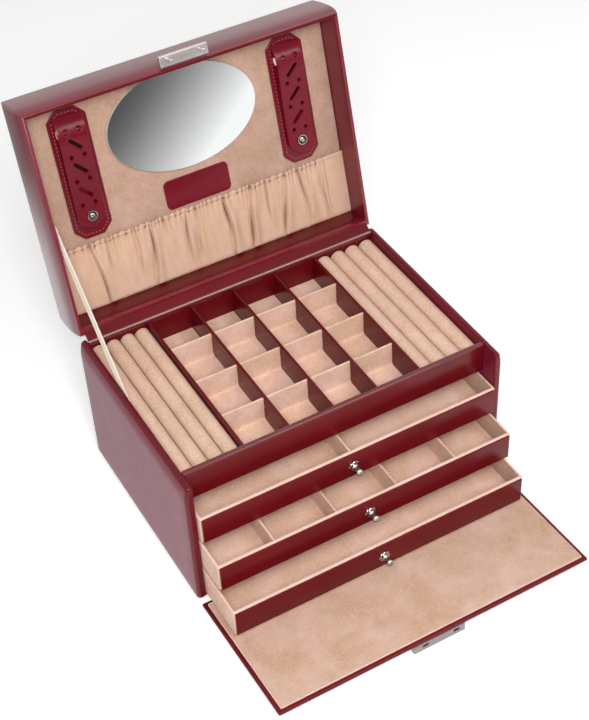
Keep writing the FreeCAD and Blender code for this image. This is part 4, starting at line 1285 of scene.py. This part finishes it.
catchLook = {
    "bevel": 0.45 * mm, "corner": 1.0 * mm, "step": 6.0 * mm, "slotX": (-13.3 * mm, 15.9 * mm),
    "slotHalf": (2.6 * mm, 1.3 * mm), "slotCorner": 0.4 * mm, "slotIn": 4.75 * mm, "well": 2.8 * mm,
}
catchLow, catchHigh = extent("catch_box", flapLocal)


def catchPlace(p):  # the slotted face is the flap's free end: x across, y up, depth inwards
    return flapPlace(np.stack([p[..., 0], catchHigh[1] - p[..., 2], p[..., 1]], -1))


def catchParts(low, high, look):
    spots = [(x, low[2] + look["slotIn"]) for x in look["slotX"]]
    slots = [turnedRect(spot, look["slotHalf"], look["slotCorner"], 0.0) for spot in spots]
    outline = boxRect(low[::2], high[::2], look["corner"])
    return holedParts(outline, slots, look["bevel"], high[1] - low[1], look["step"], catchPlace, look["well"])


parts = catchParts(catchLow, catchHigh, catchLook)
# painted shade: the catch takes the darker copy of the satin nickel
addPiece("catchBox", parts, catchSatinShaded, "flap", "polished_nickel", "catch_box")


# flap: leather-covered board, suede inlay with a turned edge painted pale as a highlight

flapLook = {
    "edge": 1.2 * mm, "corner": 1.3 * mm, "inlayEdge": 0.5 * mm, "inlayCorner": 1.2 * mm,
    "welt": 0.75 * mm, "weltHighlightShare": 0.98,
    "sunk": ((0.0, 0.05 * mm), (0.25 * mm, 0.35 * mm), (1.2 * mm, 0.2 * mm)),  # in from the welt, down
}
board = softBoard(extent("flap_board", flapLocal), flapLook["edge"], flapLook["corner"], place=flapPlace)
addPiece("flapBoard", [board], frontLeather, "flap", "burgundy_leather", "flap_board")
inlayBox = extent("flap_inlay", flapLocal)


# painted highlight: the welt round the inlay is painted paler
def onWeltHighlight(middle):
    local = flapLocal(middle)
    near = np.minimum(local - inlayBox[0], inlayBox[1] - local)[:, :2].min(1)
    return near < flapLook["welt"] * flapLook["weltHighlightShare"]


def inlayPart(box, look):
    # up the side, round the edge, over the welt, and down to the face inside it
    low, high = box
    q, edge = quarter(4), look["inlayEdge"]
    profile = [(0, low[2])] + list(zip(edge * (1 - np.cos(q)), high[2] - edge + edge * np.sin(q)))
    profile += [(look["welt"] + inset, high[2] - down) for inset, down in look["sunk"]]
    return ringPart(boxRect(low[:2], high[:2], look["inlayCorner"]), profile, flapPlace)


addPiece("flapInlay", [inlayPart(inlayBox, flapLook)], flapSuedeShaded, "flap", "beige_suede", "flap_inlay",
         second=(weltHighlightSuede, onWeltHighlight))
print("lock and flap ready")


# leather strip inside the hinge: over the case's edge, across the joint, and up the lid's wall

stripLook = {
    "thick": 0.8 * mm, "down": 3.6 * mm, "wallB": 7.0 * mm, "rimW": 5.0 * mm, "liningGap": 0.2 * mm,
    "bends": (0.62, 0.45), "bendSteps": 7, "skive": 1.5 * mm, "skiveLeast": 0.1,
    "edge": 2.0 * mm, "sideGap": 0.2 * mm, "stations": 40,
}


def stripKnots(look):
    # (y, z) corners: down the back panel's face, its top edge, the lid's rim, the lid's wall
    panelLow, panelHigh = extent("back_panel")
    lidSpots = [(0, look["wallB"], look["rimW"]), (0, look["wallB"], liningBox[0][2] - look["liningGap"])]
    front, top = panelLow[1], panelHigh[2]
    return np.array([(front, top - look["down"]), (front, top), *lidPlace(np.array(lidSpots))[:, 1:]])


def stripPart(knots, look):
    # each corner is a parabola between points part way along its two runs
    before, corner, after = knots[:-2], knots[1:-1], knots[2:]
    shorter = np.minimum(np.linalg.norm(corner - before, axis=1), np.linalg.norm(after - corner, axis=1))
    reach = (shorter * look["bends"])[:, None]
    come, leave = corner + unitRows(before - corner) * reach, corner + unitRows(after - corner) * reach
    t = np.linspace(0, 1, look["bendSteps"])[None, :, None]
    bends = (1 - t) ** 2 * come[:, None] + 2 * t * (1 - t) * corner[:, None] + t ** 2 * leave[:, None]
    seat = np.concatenate([knots[:1], bends.reshape(-1, 2), knots[-1:]])
    ahead = unitRows(np.gradient(seat, axis=0))
    thin = np.clip(runAlong(seat) / look["skive"], look["skiveLeast"], 1)[:, None]  # skived at its lower edge
    face = seat + look["thick"] * thin * np.stack([-ahead[:, 1], ahead[:, 0]], -1)
    panelLow, panelHigh = extent("back_panel")
    x = np.linspace(panelLow[0] + look["sideGap"], panelHigh[0] - look["sideGap"], look["stations"])
    return gridPart(carried(np.concatenate([seat, face[::-1]]), x))


knots = stripKnots(stripLook)


def onStripEdge(middle):
    return np.abs(middle[:, 1:] - knots[1]).max(1) < stripLook["edge"]


strip = stripPart(knots, stripLook)
piece = putMesh("hingeStrip", [strip], frontLeather, second=(creaseLeather, onStripEdge))
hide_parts("hinge_strip")
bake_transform(piece)


# ribbon stay: a broad ribbon, flat against the side panel and the lid's wall,
# its ends cut along the panel's edge and the lid's rim

ribbonLook = {
    "route": ((-0.13872, 0.0176, 0.1295), (-0.13868, 0.0480, 0.1567), (-0.13862, 0.0860, 0.1907),
              (-0.13866, 0.12605, 0.2268)),
    "width": 14.5 * mm, "thick": 0.5 * mm, "foldShadeEdge": 0.13, "foldShadeShare": 0.05, "round": 0.9,
    "lidCut": (0, 0.994, -0.111), "stations": 90, "smooth": 24, "sewn": 3,
}


def ribbonLine(look):
    curve = bpy.data.curves.new("ribbonRoute", "CURVE")
    curve.dimensions = "3D"
    curve.resolution_u = look["smooth"]
    spline = curve.splines.new("NURBS")
    spline.points.add(len(look["route"]) - 1)
    spline.points.foreach_set("co", np.column_stack([look["route"], np.ones(len(look["route"]))]).ravel())
    spline.order_u = 3
    spline.use_endpoint_u = True
    route = bpy.data.objects.new("ribbonRoute", curve)
    bpy.context.scene.collection.objects.link(route)
    bpy.context.view_layer.update()
    mesh = bpy.data.meshes.new_from_object(route.evaluated_get(bpy.context.evaluated_depsgraph_get()))
    line = meshPoints(mesh)
    bpy.data.objects.remove(route)
    bpy.data.meshes.remove(mesh)
    run = runAlong(line)
    s = np.linspace(0, run[-1], look["stations"])
    return np.column_stack([np.interp(s, run, line[:, k]) for k in range(3)]), run[-1]


def ribbonPart(line, look):
    # at each station the ribbon reaches half its width square to the run, and slants towards its cut ends
    atCase = np.array([0.0, -1.0, 0.0])
    atLid = lidAim(*look["lidCut"])
    half = look["width"] / 2
    reach = np.array([side * half / np.linalg.norm(np.cross(ribbonAhead, side)) for side in (atCase, atLid)])
    t = np.linspace(0, 1, len(line))[:, None]
    wide = (1 - t) * reach[0] + t * reach[1]
    k, r = look["foldShadeEdge"], look["round"]
    face = np.array([(-1, -0.5), (-r, -1), (-k, -1), (k, -1), (r, -1), (1, -0.5)])
    section = np.concatenate([face, -face])  # the other face is the same, turned half round
    thin = np.array([look["thick"] / 2, 0, 0])
    points = line[:, None] + section[None, :, :1] * wide[:, None] + section[None, :, 1:] * thin
    return gridPart(points)


line, ribbonLength = ribbonLine(ribbonLook)
ribbonAhead = (line[-1] - line[0]) / np.linalg.norm(line[-1] - line[0])


def onFoldShade(middle):
    off = middle - line[0]
    off = off - (off @ ribbonAhead)[:, None] * ribbonAhead
    return np.linalg.norm(off[:, 1:], axis=1) < ribbonLook["width"] * ribbonLook["foldShadeShare"]


# painted shade: a darker stripe down the middle of the ribbon
piece = putMesh("ribbonStay", [ribbonPart(line, ribbonLook)], ribbonWeave, second=(ribbonFoldShade, onFoldShade))
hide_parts("ribbon_stay")
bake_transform(piece)
print("hinge strip and ribbon ready")


# stage

def addCamera():
    view = {
        "place": (-0.424907, -0.830096, 0.986624), "right": (0.86840, -0.49410, -0.04184),
        "up": (0.36318, 0.57631, 0.73210), "forward": (0.33762, 0.65094, -0.67992),
        "lens": 76.03, "sensor": 36,
    }
    data = bpy.data.cameras.new("photoCamera")
    camera = bpy.data.objects.new("photoCamera", data)
    data.lens = view["lens"]
    data.sensor_width = view["sensor"]
    turn = Matrix((view["right"], view["up"], [-f for f in view["forward"]])).transposed()
    camera.matrix_world = Matrix.Translation(view["place"]) @ turn.to_4x4()
    bpy.context.scene.collection.objects.link(camera)
    bpy.context.scene.camera = camera


def seenRays(tree):  # 1 for rays from the camera, from a reflection or through glass, 0 for light that fills
    path = tree.nodes.new("ShaderNodeLightPath")
    seen = mathOn(tree, "MAXIMUM", path.outputs["Is Camera Ray"], path.outputs["Is Glossy Ray"])
    return mathOn(tree, "MAXIMUM", seen, path.outputs["Is Transmission Ray"])


def addBoard(name, corners, material):
    mesh = bpy.data.meshes.new(name)
    mesh.from_pydata(corners, [], [(0, 1, 2, 3)])
    mesh.materials.append(material)
    board = bpy.data.objects.new(name, mesh)
    bpy.context.scene.collection.objects.link(board)
    return board


def addFloor():  # white paper, lifted a little where it is looked at
    look = {"half": 4.0, "colour": (0.90, 0.90, 0.90), "roughness": 0.9, "lift": 0.34}
    material, tree, shader = newMaterial("floorGlow")
    shader.inputs["Base Color"].default_value = (*look["colour"], 1)
    shader.inputs["Roughness"].default_value = look["roughness"]
    shader.inputs["Specular IOR Level"].default_value = 0.0
    shader.inputs["Emission Color"].default_value = (1, 1, 1, 1)
    lift = mathOn(tree, "MULTIPLY", seenRays(tree), look["lift"])
    tree.links.new(lift, shader.inputs["Emission Strength"])
    h = look["half"]
    addBoard("floor", [(-h, -h, 0), (h, -h, 0), (h, h, 0), (-h, h, 0)], material)


def addWorld():  # white where it is looked at, dimmer as a light
    look = {"colour": (1.0, 0.99, 0.98), "fill": 0.36}
    world = bpy.data.worlds.new("studio")
    world.use_nodes = True
    tree = world.node_tree
    background = tree.nodes["Background"]
    background.inputs["Color"].default_value = (*look["colour"], 1)
    level = spreadOf(tree, seenRays(tree), 0.0, 1.0, look["fill"], 1.0)
    tree.links.new(level, background.inputs["Strength"])
    bpy.context.scene.world = world


def addSoftbox(name, place, aim, size, power):
    data = bpy.data.lights.new(name, "AREA")
    data.shape = "RECTANGLE"
    data.size, data.size_y = size
    data.energy = power
    lamp = bpy.data.objects.new(name, data)
    lamp.location = place
    lamp.rotation_euler = (Vector(aim) - Vector(place)).to_track_quat("-Z", "Y").to_euler()
    bpy.context.scene.collection.objects.link(lamp)


def addReflectionCard(name, corners, slant, power):  # painted reflection: a board out of view that glows in a slanted gradient, which only reflections see
    material, tree, shader = newMaterial(name + "Glow")
    shader.inputs["Base Color"].default_value = (0, 0, 0, 1)
    shader.inputs["Specular IOR Level"].default_value = 0.0
    shader.inputs["Emission Color"].default_value = (1, 1, 1, 1)
    weigh = tree.nodes.new("ShaderNodeVectorMath")
    weigh.operation = "DOT_PRODUCT"
    weigh.inputs[1].default_value = slant["weights"]
    tree.links.new(objectPoint(tree), weigh.inputs[0])
    share = spreadOf(tree, weigh.outputs["Value"], slant["from"], slant["to"], 0.0, 1.0)
    level = spreadOf(tree, mathOn(tree, "POWER", share, power), 0.0, 1.0, slant["dark"], slant["light"])
    tree.links.new(level, shader.inputs["Emission Strength"])
    card = addBoard(name, corners, material)
    card.visible_camera = card.visible_diffuse = card.visible_shadow = False


addCamera()
addFloor()
addWorld()
# painted reflections: a glow from dark to light seen in the mirror, and one behind the case seen in the lid's
# left wall
addReflectionCard("mirrorReflectionCard", [(-0.2, -0.9, 0.0), (0.75, -0.9, 0.0), (0.75, -0.9, 0.42), (-0.2, -0.9, 0.42)],
        {"weights": (1.0, 0.0, -1.3), "from": 0.02, "to": 0.30, "dark": 0.09, "light": 1.0}, 1.7)
addReflectionCard("rearReflectionCard", [(-0.9, 0.12, 0.002), (-0.16, 0.12, 0.002), (-0.16, 0.9, 0.002), (-0.9, 0.9, 0.002)],
        {"weights": (0.0, -1.0, 0.0), "from": -0.56, "to": -0.38, "dark": 0.35, "light": 1.1}, 1.0)
addSoftbox("keySoftbox", (-0.7, -0.9, 1.5), (0, 0, 0.1), (1.4, 1.4), 6.0)
addSoftbox("frontSoftbox", (-0.42, -0.86, 1.05), (0, 0, 0.1), (0.35, 0.35), 12.0)
addSoftbox("edgeSoftbox", (0.48, -0.8, 1.27), (0.48, 0, 0.15), (0.7, 0.5), 7.0)
bpy.context.scene.view_settings.view_transform = "Standard"
print("stage ready")
